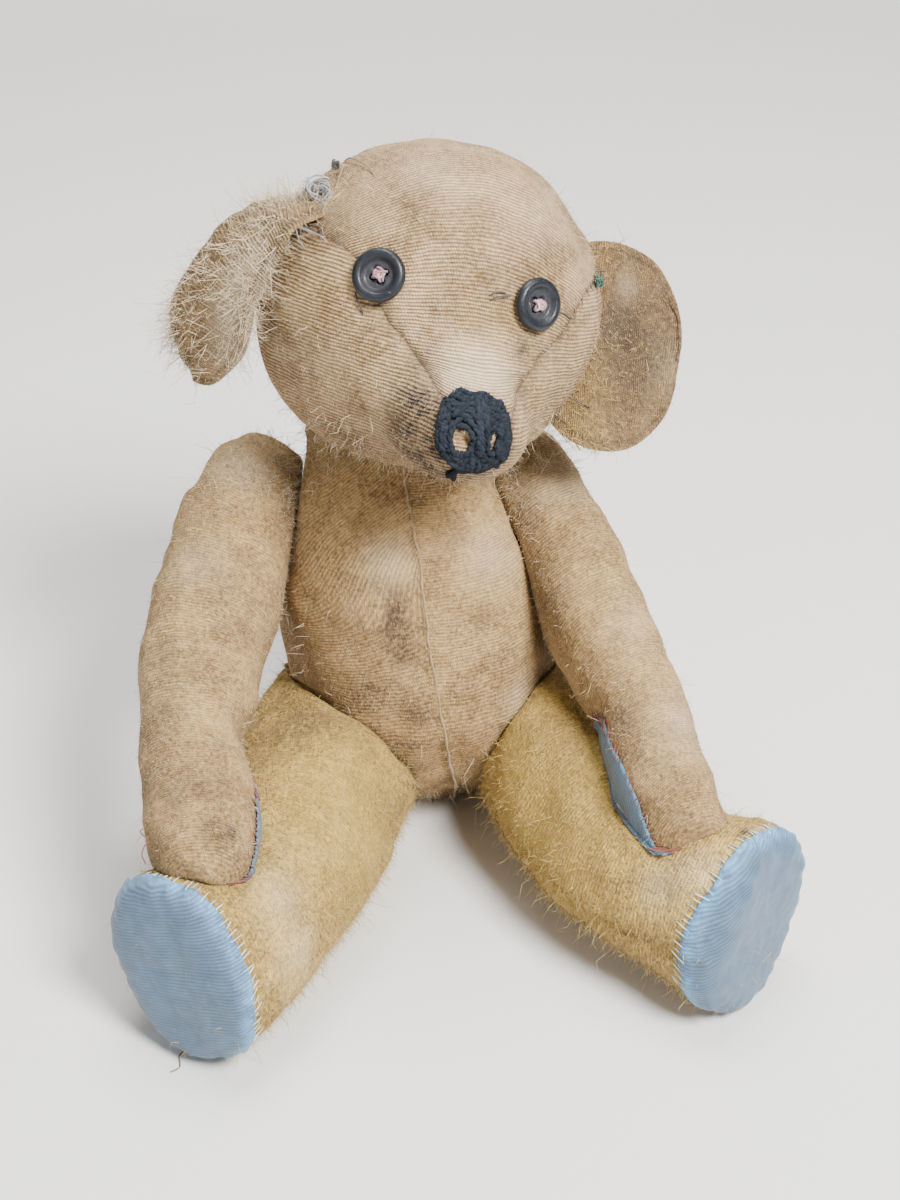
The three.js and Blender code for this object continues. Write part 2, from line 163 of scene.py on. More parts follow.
# A stuffed form: a superellipse section carried along the spine and closed by its caps, grown by
# grow all over.
def formPoints(form, height, turn, grow=0):
    height, turn = np.broadcast_arrays(height, turn)
    grow = np.broadcast_to(grow, height.shape)
    middle, heading, normal, side, size = spineAt(form, (1 - height) / 2)
    cosine, sine = np.cos(turn), np.sin(turn)
    spread = np.abs(cosine) ** sectionPower + np.abs(sine) ** sectionPower
    reach = capAt(form, height) * spread ** (-1 / sectionPower)
    return (
        middle
        + normal * ((size[..., 0] + grow) * reach * cosine)[..., None]
        + side * ((size[..., 1] + grow) * reach * sine)[..., None]
        - heading * (grow * height)[..., None]
    )


# Heights of rings that are evenly spaced along the profile of a stuffed form.
def evenHeights(form, count):
    height = np.cos(np.linspace(0, math.pi, 4001))
    rows = form["rows"]
    length = np.linalg.norm(np.diff(rows[:, :3], axis=0), axis=1).sum()
    out = capAt(form, height) * rows[:, 3:5].mean()
    arc = np.concatenate([[0], np.cumsum(np.hypot(np.diff(height) * length / 2, np.diff(out)))])
    return np.interp(np.linspace(0, arc[-1], count), arc, height)


# Where points lie in a stuffed form: how far along its spine, the turn about it, and how far out.
def inForm(form, points):
    samples = np.linspace(0, 1, 33)
    middle, _ = throughRows(form["rows"][:, :3], samples)
    along = samples[((points[:, None] - middle) ** 2).sum(-1).argmin(1)]
    for _ in range(3):
        middle, slope = throughRows(form["rows"][:, :3], along)
        along = np.clip(along + ((points - middle) * slope).sum(-1) / (slope**2).sum(-1), 0, 1)
    middle, heading, normal, side, size = spineAt(form, along)
    off = points - middle
    a, b = (off * normal).sum(-1) / size[:, 0], (off * side).sum(-1) / size[:, 1]
    out = (np.abs(a) ** sectionPower + np.abs(b) ** sectionPower) ** (1 / sectionPower)
    return along, np.arctan2(b, a), np.maximum(out, 0.04), middle, heading, size.mean(-1)


# Points pushed away from a stuffed form's spine, by a share of the way to some room outside it. The
# form is taken smooth, without its relief, so cloth made from the two can still cross.
def pushedOut(points, form, room, share=1):
    flat = points.reshape(-1, 3)
    along, _, out, middle, heading, size = inForm(form, flat)
    room = np.broadcast_to(room, points.shape[:-1]).reshape(-1)
    wanted = roundedMax(out, capAt(form, 1 - 2 * along) + room / size, 0.012)
    off = flat - middle
    outward = off - heading * (off * heading).sum(-1)[:, None]
    share = np.broadcast_to(share, points.shape[:-1]).reshape(-1)
    return (flat + outward * (share * (wanted / out - 1))[:, None]).reshape(points.shape)


# meshes

# The rows of a grid whose first and last rows are single points, as one list of points.
def closedList(grid):
    width = grid.shape[-1]
    return np.vstack([grid[:1, 0], grid[1:-1].reshape(-1, width), grid[-1:, 0]])


def closedFaces(rings, sectors):
    ring = 1 + np.arange(rings - 3)[:, None] * sectors
    here, nextOne = np.arange(sectors), (np.arange(sectors) + 1) % sectors
    corners = [ring + here, ring + nextOne, ring + sectors + nextOne, ring + sectors + here]
    quads = np.stack(corners, -1).reshape(-1, 4)
    last = 1 + (rings - 2) * sectors
    first = np.stack([np.zeros(sectors, int), 1 + nextOne, 1 + here], -1)
    final = np.stack([np.full(sectors, last), last - sectors + here, last - sectors + nextOne], -1)
    return [quads, np.vstack([first, final])]


# Normals of a wrapped grid, from the cross product of its two directions, pointing out of it.
def gridNormals(grid):
    around = np.roll(grid, -1, 1) - np.roll(grid, 1, 1)
    normal = np.cross(np.gradient(grid, axis=0), around)
    normal[0], normal[-1] = normal[1].mean(0), normal[-2].mean(0)
    normal = unit(normal)
    outward = grid - grid.mean(1, keepdims=True)
    return normal if (normal * outward).sum() > 0 else -normal


# A mesh object from points and lists of faces, turned so that its faces point outwards.
def makeObject(name, points, faces, material, attributes=None):
    first = np.vstack([f[:, [0, k, k + 1]] for f in faces for k in range(1, f.shape[1] - 1)])
    a, b, c = (points[first[:, k]] for k in range(3))
    if (a * np.cross(b, c)).sum() < 0:
        faces = [f[:, ::-1] for f in faces]
    mesh = bpy.data.meshes.new(name)
    mesh.vertices.add(len(points))
    mesh.vertices.foreach_set("co", (points * metre).astype(np.float32).ravel())
    corners = np.concatenate([f.ravel() for f in faces]).astype(np.int32)
    mesh.loops.add(len(corners))
    mesh.loops.foreach_set("vertex_index", corners)
    sizes = np.concatenate([np.full(len(f), f.shape[1]) for f in faces])
    mesh.polygons.add(len(sizes))
    mesh.polygons.foreach_set("loop_start", (np.cumsum(sizes) - sizes).astype(np.int32))
    mesh.polygons.foreach_set("use_smooth", np.ones(len(sizes), bool))
    for title, values in (attributes or {}).items():
        kind = {1: "FLOAT", 3: "FLOAT_VECTOR", 4: "FLOAT_COLOR"}[values.shape[-1]]
        field = {1: "value", 3: "vector", 4: "color"}[values.shape[-1]]
        made = mesh.attributes.new(title, kind, "POINT")
        made.data.foreach_set(field, values.astype(np.float32).ravel())
    mesh.update(calc_edges=True)
    mesh.materials.append(material)
    made = bpy.data.objects.new(name, mesh)
    bpy.context.scene.collection.objects.link(made)
    return made


slanting = unit(np.array([0.31, 0.52, 0.79]))  # crossed with a strand to give its sideways directions


# Round strands along many paths at once. paths is strands by points by 3, and radius is the same
# without the last; each strand is closed by a point at both ends.
def strandMesh(paths, radius, sides):
    count, steps = paths.shape[:2]
    heading = unit(np.gradient(paths, axis=1))
    first = unit(np.cross(heading, slanting))
    second = np.cross(heading, first)
    angle = np.arange(sides) * 2 * math.pi / sides
    circle = first[:, :, None] * np.cos(angle)[:, None] + second[:, :, None] * np.sin(angle)[:, None]
    rings = paths[:, :, None] + circle * radius[:, :, None, None]
    ends = np.stack([paths[:, 0], paths[:, -1]], 1)
    points = np.concatenate([rings.reshape(count, -1, 3), ends], 1)
    own = steps * sides + 2
    here, nextOne = np.arange(sides), (np.arange(sides) + 1) % sides
    ring = np.arange(steps - 1)[:, None] * sides
    quads = np.stack([ring + here, ring + nextOne, ring + sides + nextOne, ring + sides + here], -1)
    last = (steps - 1) * sides
    first = np.stack([np.full(sides, own - 2), nextOne, here], -1)
    final = np.stack([np.full(sides, own - 1), last + here, last + nextOne], -1)
    start = (np.arange(count) * own)[:, None, None]
    quads = (quads.reshape(1, -1, 4) + start).reshape(-1, 4)
    fans = (np.vstack([first, final])[None] + start).reshape(-1, 3)
    return points.reshape(-1, 3), [quads, fans], own


# A piece of several strands, each with its own shade from 0 to 1.
def strandPiece(name, paths, radius, sides, material, shades=None):
    paths = np.asarray(paths, float)
    radius = np.broadcast_to(radius, paths.shape[:2])
    points, faces, own = strandMesh(paths, radius, sides)
    shades = chance.uniform(0, 1, len(paths)) if shades is None else shades
    return makeObject(name, points, faces, material, {"shade": np.repeat(shades, own)[:, None]})


# Hairs from root points: a three-sided spike bent at its middle, of ten triangles, or a straight one
# of four.
def hairMesh(roots, tips, bend, radius):
    heading = unit(tips - roots)
    first = unit(np.cross(heading, slanting))
    second = np.cross(heading, first)
    angle = np.arange(3) * 2 * math.pi / 3
    circle = first[:, None] * np.cos(angle)[:, None] + second[:, None] * np.sin(angle)[:, None]
    base = roots[:, None] + circle * radius[:, None, None]
    if bend is None:
        points = np.concatenate([base, tips[:, None]], 1)
        faces = np.array([[0, 1, 3], [1, 2, 3], [2, 0, 3], [2, 1, 0]])
    else:
        middle = (roots + tips)[:, None] / 2 + bend[:, None] + circle * radius[:, None, None] * 0.8
        points = np.concatenate([base, middle, tips[:, None]], 1)
        sides = [[0, 1, 4], [0, 4, 3], [1, 2, 5], [1, 5, 4], [2, 0, 3], [2, 3, 5]]
        faces = np.array(sides + [[3, 4, 6], [4, 5, 6], [5, 3, 6], [2, 1, 0]])
    own = points.shape[1]
    faces = (faces[None] + (np.arange(len(roots)) * own)[:, None, None]).reshape(-1, 3)
    return points.reshape(-1, 3), faces, own


# Random places on a closed grid, more of them where density is high: cells are drawn by their area
# times density, and a place is set at random in its cell.
def scattered(grid, normals, density, count, pick):
    area = np.linalg.norm(np.cross(grid[1:] - grid[:-1], (np.roll(grid, -1, 1) - grid)[:-1]), axis=-1)
    weight = (area * density[:-1]).ravel()
    cell = pick.choice(weight.size, count, p=weight / weight.sum())
    row, column = np.divmod(cell, grid.shape[1])
    after = (column + 1) % grid.shape[1]
    f, g = pick.random((2, count, 1))

    def blended(values):
        low = values[row, column] * (1 - g) + values[row, after] * g
        high = values[row + 1, column] * (1 - g) + values[row + 1, after] * g
        return low * (1 - f) + high * f

    return blended(grid), unit(blended(normals))


# Worn pile over a closed grid: short straight hairs, and longer bent ones where some is left.
# Each hair leans from the normal towards lay, and is tinted at random between two colours.
def pile(name, body, grid, density, longDensity, look, material, seed):
    pick = np.random.default_rng(seed)
    normals = gridNormals(grid)
    parts = []
    for kind, field in (("short", density), ("long", longDensity)):
        count = look[kind] // 1
        if not count:
            continue
        roots, out = scattered(grid, normals, field, count, pick)
        length = look[kind + "Length"] * pick.gamma(4, 0.25, (count, 1))
        wild = pick.normal(size=(count, 3)) * look["wild"]
        aim = unit(out + np.array(look["lay"]) * look["lean"] + wild)
        aim = unit(aim + out * np.maximum(0, 0.15 - (aim * out).sum(-1, keepdims=True)))
        roots = roots - out * 0.15
        bend = None if kind == "short" else pick.normal(size=(count, 3)) * length * look["curl"]
        radius = look["radius"] * pick.uniform(0.7, 1.3, count)
        points, faces, own = hairMesh(roots, roots + aim * length, bend, radius)
        points[:, 2] = np.maximum(points[:, 2], 0.1 + 0.05 * np.arange(len(points)) % 0.3)
        shade = np.repeat(pick.beta(2, 2, count), own)
        parts.append((points, faces, shade))
    starts = np.cumsum([0] + [len(p[0]) for p in parts])
    faces = np.vstack([p[1] + s for p, s in zip(parts, starts)])
    points = np.vstack([p[0] for p in parts])
    shade = np.concatenate([p[2] for p in parts])[:, None]
    made = makeObject(name, points, [faces], material, {"shade": shade})
    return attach(made, body)


# shader helpers

# A node's inputs: a socket is linked to its input, and anything else is set as the input's value.
def plug(tree, node, inputs):
    for title, value in inputs.items():
        if isinstance(value, bpy.types.NodeSocket):
            tree.links.new(value, node.inputs[title])
        else:
            node.inputs[title].default_value = value
    return node


def addNode(tree, kind, inputs=None, **settings):
    node = tree.nodes.new("ShaderNode" + kind)
    for title, value in settings.items():
        setattr(node, title, value)
    return plug(tree, node, inputs or {})


def sums(tree, operation, a, b=0.5, c=0.5):
    return addNode(tree, "Math", {0: a, 1: b, 2: c}, operation=operation).outputs[0]


def mixed(tree, share, a, b, blend="MIX"):
    node = addNode(tree, "Mix", {0: share, 6: a, 7: b}, data_type="RGBA", blend_type=blend)
    return node.outputs[2]


def colour(red, green, blue):
    return (red, green, blue, 1)


def attribute(tree, title, output="Fac"):
    return addNode(tree, "Attribute", attribute_name=title).outputs[output]


# A value eased from 0 to 1 between two levels.
def eased(tree, value, low, high):
    inputs = {"Value": value, "From Min": low, "From Max": high}
    return addNode(tree, "MapRange", inputs, interpolation_type="SMOOTHSTEP").outputs[0]


def newGroup(title, inputs, outputs):
    group = bpy.data.node_groups.new(title, "ShaderNodeTree")
    for name, kind, value in inputs:
        socket = group.interface.new_socket(name, in_out="INPUT", socket_type="NodeSocket" + kind)
        if value is not None:
            socket.default_value = value
    for name, kind in outputs:
        group.interface.new_socket(name, in_out="OUTPUT", socket_type="NodeSocket" + kind)
    entry, leave = group.nodes.new("NodeGroupInput"), group.nodes.new("NodeGroupOutput")
    return group, entry.outputs, leave.inputs


def useGroup(tree, group, inputs):
    return addNode(tree, "Group", inputs, node_tree=group).outputs


# Ribbed weave: threads along one way, drawn together in ribs across the other, with the finer yarn
# staggered from rib to rib. Threads is a vector in millimetres: along a rib, then across the ribs.
def makeWeave():
    inputs = [
        ("Threads", "Vector", None), ("Pitch", "Float", 1.1), ("Yarn", "Float", 0.8), ("Wander", "Float", 0.5)
    ]
    group, into, out = newGroup("ribbed weave", inputs, [("Height", "Float"), ("Valley", "Float")])
    slow = addNode(
        group, "TexNoise", {"Vector": into["Threads"], "Scale": 0.09, "Detail": 3.0}
    ).outputs["Fac"]
    drift = sums(group, "MULTIPLY_ADD", slow, into["Wander"], 0.0)
    parts = addNode(group, "SeparateXYZ", {0: into["Threads"]}).outputs
    ribs = sums(group, "DIVIDE", sums(group, "ADD", parts["Y"], drift), into["Pitch"])
    wave = sums(group, "COSINE", sums(group, "MULTIPLY", ribs, 2 * math.pi))
    rib = sums(group, "MULTIPLY_ADD", wave, 0.5, 0.5)
    stagger = sums(group, "MULTIPLY", sums(group, "FLOOR", sums(group, "ADD", ribs, 0.5)), 0.5)
    yarn = sums(group, "ADD", sums(group, "DIVIDE", parts["X"], into["Yarn"]), stagger)
    bead = sums(
        group, "MULTIPLY_ADD", sums(group, "COSINE", sums(group, "MULTIPLY", yarn, 2 * math.pi)), 0.5, 0.5
    )
    tight = addNode(
        group, "TexNoise", {"Vector": into["Threads"], "Scale": 0.35, "Detail": 2.0}
    ).outputs["Fac"]
    worn = eased(group, tight, 0.3, 0.75)
    beaded = sums(group, "MULTIPLY", rib, sums(group, "MULTIPLY_ADD", bead, 0.45, 0.55))
    height = sums(group, "MULTIPLY", beaded, sums(group, "MULTIPLY_ADD", worn, 0.5, 0.5))
    valley = sums(group, "SUBTRACT", 1.0, beaded)
    group.links.new(height, out["Height"])
    group.links.new(valley, out["Valley"])
    return group


# Blotches from 0 to 1: cloudy patches, speckle a ninth of their size, and a grain of one fixed size.
def makeBlotches():
    inputs = [("Vector", "Vector", None), ("Size", "Float", 30.0), ("Edge", "Float", 0.18)]
    outputs = [("Patches", "Float"), ("Speckle", "Float"), ("Grain", "Float")]
    group, into, out = newGroup("blotches", inputs, outputs)
    scale = sums(group, "DIVIDE", 1000.0, into["Size"])
    fine = sums(group, "MULTIPLY", scale, 9.0)
    cloud = addNode(
        group, "TexNoise", {"Vector": into["Vector"], "Scale": scale, "Detail": 6.0, "Roughness": 0.62}
    )
    low = sums(group, "SUBTRACT", 0.5, into["Edge"])
    high = sums(group, "ADD", 0.5, into["Edge"])
    group.links.new(eased(group, cloud.outputs["Fac"], low, high), out["Patches"])
    grain = addNode(
        group, "TexNoise", {"Vector": into["Vector"], "Scale": fine, "Detail": 5.0, "Roughness": 0.7}
    )
    group.links.new(eased(group, grain.outputs["Fac"], 0.38, 0.66), out["Speckle"])
    tuft = addNode(
        group, "TexNoise", {"Vector": into["Vector"], "Scale": 780.0, "Detail": 3.0, "Roughness": 0.6}
    )
    group.links.new(eased(group, tuft.outputs["Fac"], 0.36, 0.66), out["Grain"])
    return group


# Felted fibres: fine short streaks that lie every way, as height and as a mask of the palest ones.
def makeFibres():
    inputs = [("Vector", "Vector", None), ("Fineness", "Float", 1500.0)]
    group, into, out = newGroup("felted fibres", inputs, [("Height", "Float"), ("Flecks", "Float")])
    layers = []
    for k, stretch in enumerate(((1, 1, 0.22), (0.22, 1, 1), (1, 0.22, 1))):
        place = {"Vector": into["Vector"], "Scale": stretch, "Rotation": (0.4 + k, 0.7 * k, 1.1 * k)}
        streak = addNode(group, "Mapping", place).outputs[0]
        noise = addNode(group, "TexNoise", {"Vector": streak, "Scale": into["Fineness"], "Detail": 2.0})
        layers.append(noise.outputs["Fac"])
    top = sums(group, "MAXIMUM", sums(group, "MAXIMUM", layers[0], layers[1]), layers[2])
    group.links.new(top, out["Height"])
    group.links.new(eased(group, top, 0.6, 0.8), out["Flecks"])
    return group


weaveGroup, blotchGroup, fibreGroup = makeWeave(), makeBlotches(), makeFibres()


def newMaterial(title):
    material = bpy.data.materials.new(title)
    material.use_nodes = True
    tree = material.node_tree
    shader = next(n for n in tree.nodes if n.type == "BSDF_PRINCIPLED")
    return material, tree, shader


# Worn plush backing. Its threads, marks and seam distance come from attributes of the mesh: marks is
# soil, ink, bare pale cloth and golden pile.
def clothMaterial(title, look):
    material, tree, shader = newMaterial(title)
    at = addNode(tree, "TexCoord").outputs["Object"]
    seam = attribute(tree, "seam")
    inner = sums(tree, "GREATER_THAN", seam, 0.0)
    threads = mixed(
        tree, inner, attribute(tree, "outerThreads", "Vector"), attribute(tree, "innerThreads", "Vector")
    )
    weave = useGroup(
        tree, weaveGroup, {"Threads": threads, "Pitch": look["pitch"], "Yarn": look["yarn"], "Wander": 2.2}
    )
    cloud = useGroup(tree, blotchGroup, {"Vector": at, "Size": look["patch"], "Edge": 0.11})
    broad = useGroup(tree, blotchGroup, {"Vector": at, "Size": look["patch"] * 2.6, "Edge": 0.16})
    fibre = useGroup(tree, fibreGroup, {"Vector": at, "Fineness": look["fineness"]})
    marks = addNode(tree, "SeparateColor", {0: attribute(tree, "marks", "Color")}).outputs
    pileLeft = attribute(tree, "marks", "Alpha")
    base = mixed(tree, cloud["Patches"], look["light"], look["middle"])
    base = mixed(tree, sums(tree, "MULTIPLY", broad["Patches"], look["warmth"]), base, look["warm"])
    base = mixed(tree, sums(tree, "MULTIPLY", cloud["Speckle"], look["mottle"]), base, look["dark"])
    base = mixed(tree, sums(tree, "MULTIPLY", cloud["Grain"], look["tufts"]), base, look["light"])
    edge = sums(tree, "MULTIPLY_ADD", cloud["Speckle"], 0.55, sums(tree, "MULTIPLY", broad["Speckle"], 0.35))
    soil = sums(tree, "MULTIPLY", marks["Red"], sums(tree, "ADD", edge, 0.46))
    base = mixed(tree, sums(tree, "MINIMUM", soil, 0.92), base, look["soil"])
    base = mixed(tree, pileLeft, base, look["golden"])
    base = mixed(tree, marks["Blue"], base, look["pale"])
    lines = sums(tree, "MULTIPLY_ADD", weave["Valley"], 0.9, 0.15)
    inked = sums(
        tree, "MULTIPLY", marks["Green"], sums(tree, "ADD", sums(tree, "MULTIPLY", lines, edge), 0.12)
    )
    base = mixed(tree, sums(tree, "MINIMUM", sums(tree, "MULTIPLY", inked, 1.7), 0.94), base, look["ink"])
    # Painted shade: the rib valleys are darkened by multiplying in the valley colour, as strong as ribShade.
    depth = sums(tree, "MULTIPLY", weave["Valley"], look["ribShade"])
    base = mixed(tree, depth, base, look["valley"], "MULTIPLY")
    base = mixed(tree, sums(tree, "MULTIPLY", fibre["Flecks"], look["flecks"]), base, look["fibre"])
    apart = sums(tree, "ABSOLUTE", seam)
    grime = sums(
        tree, "MULTIPLY", sums(tree, "SUBTRACT", 1.0, eased(tree, apart, 0.3, 3.2)), look["seamGrime"]
    )
    base = mixed(tree, grime, base, look["soil"])
    stitch = sums(
        tree, "MULTIPLY", sums(tree, "SUBTRACT", 1.0, eased(tree, apart, 0.18, 0.55)), look["seamLine"]
    )
    base = mixed(tree, stitch, base, look["line"])
    rough = sums(tree, "MULTIPLY_ADD", cloud["Speckle"], -0.1, 0.97)
    height = sums(tree, "MULTIPLY", weave["Height"], look["ribHeight"])
    height = sums(tree, "MULTIPLY_ADD", fibre["Height"], look["fibreHeight"], height)
    height = sums(tree, "MULTIPLY_ADD", cloud["Speckle"], 0.25, height)
    height = sums(tree, "MULTIPLY_ADD", stitch, -1.2, height)
    bump = addNode(tree, "Bump", {"Height": height, "Distance": look["relief"] * metre, "Strength": 1.0})
    plug(tree, shader, {
        "Base Color": base, "Roughness": rough, "Normal": bump.outputs[0], "Specular IOR Level": 0.2,
        "Sheen Weight": look["sheen"], "Sheen Roughness": 0.55, "Sheen Tint": look["sheenTint"],
    })
    return material


cloth = {
    "pitch": 1.15, "yarn": 0.85, "patch": 16.0, "fineness": 1500.0,
    "light": colour(0.62, 0.42, 0.185), "middle": colour(0.27, 0.168, 0.07), "warm": colour(0.35, 0.2, 0.065),
    "warmth": 0.45, "golden": colour(0.46, 0.32, 0.11), "pale": colour(0.82, 0.69, 0.48),
    "soil": colour(0.085, 0.055, 0.036), "ink": colour(0.02, 0.019, 0.026),
    # valley is the painted shade colour multiplied into the rib valleys.
    "valley": colour(0.36, 0.28, 0.22),
    "ribShade": 0.7, "fibre": colour(0.82, 0.64, 0.4), "flecks": 0.3, "line": colour(0.05, 0.033, 0.024),
    "mottle": 0.7, "dark": colour(0.11, 0.068, 0.034), "tufts": 0.5,
    "seamGrime": 0.3, "seamLine": 0.35, "ribHeight": 1.0, "fibreHeight": 0.9, "relief": 0.5,
    "sheen": 0.06, "sheenTint": colour(0.95, 0.85, 0.7),
}
headLook = {
    **cloth, "pitch": 1.25, "ribShade": 0.9, "ribHeight": 1.3, "mottle": 0.4, "tufts": 0.5,
    "light": colour(0.78, 0.59, 0.35), "middle": colour(0.35, 0.225, 0.11), "relief": 0.6,
}
torsoLook = {
    **cloth, "pitch": 0.95, "patch": 12.0, "ribShade": 0.5, "ribHeight": 0.7, "seamGrime": 0.15,
    "seamLine": 0.0,
}
armLook = {
    **cloth, "relief": 0.7, "pitch": 1.0, "patch": 14.0, "ribShade": 0.5, "ribHeight": 0.7, "tufts": 0.55,
    "seamLine": 0.3,
}
legLook = {
    **cloth, "patch": 18.0, "light": colour(0.66, 0.45, 0.13), "middle": colour(0.29, 0.185, 0.045),
    "warm": colour(0.36, 0.22, 0.06), "golden": colour(0.46, 0.32, 0.075), "dark": colour(0.12, 0.08, 0.026),
    "ribShade": 0.3, "ribHeight": 0.4, "mottle": 0.75, "tufts": 0.6, "fibreHeight": 1.5, "flecks": 0.4,
    "fibre": colour(0.74, 0.54, 0.21), "sheen": 0.05, "seamLine": 0.35, "relief": 1.0, "fineness": 950.0,
}
earLook = {
    **cloth, "patch": 16.0, "ribShade": 0.45, "mottle": 0.85, "light": colour(0.38, 0.25, 0.115),
    "middle": colour(0.15, 0.09, 0.042), "seamLine": 0.25, "relief": 0.8,
}

headCloth = clothMaterial("head cloth", headLook)
torsoCloth = clothMaterial("torso cloth", torsoLook)
armCloth = clothMaterial("arm cloth", armLook)
legCloth = clothMaterial("leg plush", legLook)
earCloth = clothMaterial("ear cloth", earLook)


# Ribbed satin: fine corded ribs that catch the light, greyed where it is rubbed. The seam attribute
# is the distance in from the pad's edge.
def satinMaterial(title, look):
    material, tree, shader = newMaterial(title)
    at = addNode(tree, "TexCoord").outputs["Object"]
    threads = attribute(tree, "innerThreads", "Vector")
    weave = useGroup(
        tree, weaveGroup, {"Threads": threads, "Pitch": look["pitch"], "Yarn": 0.4, "Wander": 0.6}
    )
    cloud = useGroup(tree, blotchGroup, {"Vector": at, "Size": 22.0, "Edge": 0.2})
    fine = useGroup(tree, blotchGroup, {"Vector": at, "Size": 6.0, "Edge": 0.15})
    seam = attribute(tree, "seam")
    base = mixed(tree, cloud["Patches"], look["blue"], look["grey"])
    base = mixed(tree, sums(tree, "MULTIPLY", fine["Patches"], 0.35), base, look["faded"])
    rim = sums(tree, "SUBTRACT", 1.0, eased(tree, seam, 0.5, 7.0))
    bright = sums(tree, "MULTIPLY", rim, sums(tree, "ADD", fine["Patches"], 0.25))
    base = mixed(tree, sums(tree, "MULTIPLY", bright, 0.7), base, look["bright"])
    # Painted shade: the rib valleys are darkened by multiplying in the valley colour.
    base = mixed(tree, sums(tree, "MULTIPLY", weave["Valley"], 0.7), base, look["valley"], "MULTIPLY")
    dirt = sums(tree, "MULTIPLY", fine["Speckle"], cloud["Speckle"])
    base = mixed(tree, sums(tree, "MULTIPLY", dirt, 0.22), base, look["dirt"])
    rough = sums(tree, "MULTIPLY_ADD", cloud["Patches"], 0.16, 0.36)
    height = sums(tree, "MULTIPLY_ADD", fine["Speckle"], 0.25, weave["Height"])
    bump = addNode(tree, "Bump", {"Height": height, "Distance": 0.22 * metre, "Strength": 1.0})
    plug(tree, shader, {
        "Base Color": base, "Roughness": rough, "Normal": bump.outputs[0], "Specular IOR Level": 0.4,
        "Sheen Weight": 0.08,
    })
    return material


satin = {
    "pitch": 1.1, "blue": colour(0.07, 0.15, 0.255), "grey": colour(0.115, 0.18, 0.24),
    # valley is the painted shade colour multiplied into the rib valleys.
    "faded": colour(0.2, 0.3, 0.39), "bright": colour(0.2, 0.5, 0.82), "valley": colour(0.28, 0.36, 0.46),
    "dirt": colour(0.06, 0.06, 0.06),
}
soleSatin = satinMaterial("sole satin", satin)
pawLook = {
    **satin, "blue": colour(0.08, 0.14, 0.2), "grey": colour(0.11, 0.16, 0.2),
    "bright": colour(0.12, 0.24, 0.36),
}
pawSatin = satinMaterial("paw satin", pawLook)


# Thread, yarn and hair: each strand is tinted by its shade, and finely streaked.
def strandMaterial(title, dark, light, roughness=0.8, sheen=0.3, fineness=900.0, relief=0.12):
    material, tree, shader = newMaterial(title)
    at = addNode(tree, "TexCoord").outputs["Object"]
    fibre = useGroup(tree, fibreGroup, {"Vector": at, "Fineness": fineness})
    base = mixed(tree, attribute(tree, "shade"), dark, light)
    base = mixed(tree, sums(tree, "MULTIPLY", fibre["Flecks"], 0.4), base, light)
    bump = addNode(tree, "Bump", {"Height": fibre["Height"], "Distance": relief * metre, "Strength": 0.8})
    rough = sums(tree, "MULTIPLY_ADD", fibre["Flecks"], 0.1, roughness)
    plug(tree, shader, {
        "Base Color": base, "Roughness": rough, "Normal": bump.outputs[0], "Specular IOR Level": 0.3,
        "Sheen Weight": sheen,
    })
    return material


paleHair = strandMaterial("pale mohair", colour(0.4, 0.28, 0.14), colour(0.84, 0.72, 0.52), 0.65, 0.1)
goldenHair = strandMaterial("golden mohair", colour(0.34, 0.215, 0.055), colour(0.72, 0.53, 0.2), 0.65, 0.1)
darkThread = strandMaterial("dark thread", colour(0.02, 0.018, 0.017), colour(0.09, 0.07, 0.06))
greyThread = strandMaterial("grey thread", colour(0.12, 0.13, 0.14), colour(0.33, 0.35, 0.36))
greenThread = strandMaterial("green thread", colour(0.012, 0.05, 0.035), colour(0.03, 0.12, 0.09))
redThread = strandMaterial("red-brown thread", colour(0.09, 0.022, 0.016), colour(0.24, 0.07, 0.045))
pinkThread = strandMaterial("dusty pink thread", colour(0.3, 0.14, 0.17), colour(0.55, 0.33, 0.36))
blueThread = strandMaterial("pale blue thread", colour(0.36, 0.5, 0.6), colour(0.66, 0.76, 0.8))
seamThread = strandMaterial("seam thread", colour(0.2, 0.13, 0.065), colour(0.42, 0.3, 0.16))
brownThread = strandMaterial("brown thread", colour(0.05, 0.032, 0.02), colour(0.17, 0.115, 0.07))
blackYarn = strandMaterial(
    "nose yarn", colour(0.002, 0.004, 0.007), colour(0.012, 0.018, 0.028), 0.9, 0.0, 700.0, 0.4
)


# Polished horn-like button: near black, with fine turned scratches and dull dust in the well.
def buttonMaterial():
    material, tree, shader = newMaterial("button")
    at = addNode(tree, "TexCoord").outputs["Object"]
    dust = useGroup(tree, blotchGroup, {"Vector": at, "Size": 3.0, "Edge": 0.2})
    wide = useGroup(tree, blotchGroup, {"Vector": at, "Size": 9.0, "Edge": 0.25})
    marks = addNode(tree, "SeparateColor", {0: attribute(tree, "marks", "Color")}).outputs
    base = mixed(tree, wide["Patches"], colour(0.003, 0.005, 0.009), colour(0.008, 0.011, 0.017))
    dusty = sums(tree, "MULTIPLY", marks["Red"], sums(tree, "MULTIPLY", dust["Speckle"], 0.55))
    base = mixed(tree, dusty, base, colour(0.07, 0.07, 0.075))
    rough = sums(tree, "MULTIPLY_ADD", dust["Speckle"], 0.14, 0.27)
    rough = sums(tree, "MULTIPLY_ADD", marks["Red"], 0.25, rough)
    bump = addNode(tree, "Bump", {"Height": dust["Speckle"], "Distance": 0.03 * metre, "Strength": 1.0})
    plug(tree, shader, {
        "Base Color": base, "Roughness": rough, "Normal": bump.outputs[0], "Specular IOR Level": 0.35,
        "Coat Weight": 0.15, "Coat Roughness": 0.12,
    })
    return material


buttonHorn = buttonMaterial()
print("materials made")


# where the pieces meet

neck = {"at": (-13, 3, 147), "tiltLeft": 16, "turnLeft": 8, "height": 43, "forward": 8, "disc": 19}
shoulder = {"middle": (-12.5, -1, 110), "apart": 34, "rise": 8, "hollow": 26}
hip = {"middle": (4, -16, 37), "apart": 17.5, "dip": 25, "hollow": 28}
gap = 0.3  # each side of a joint's face

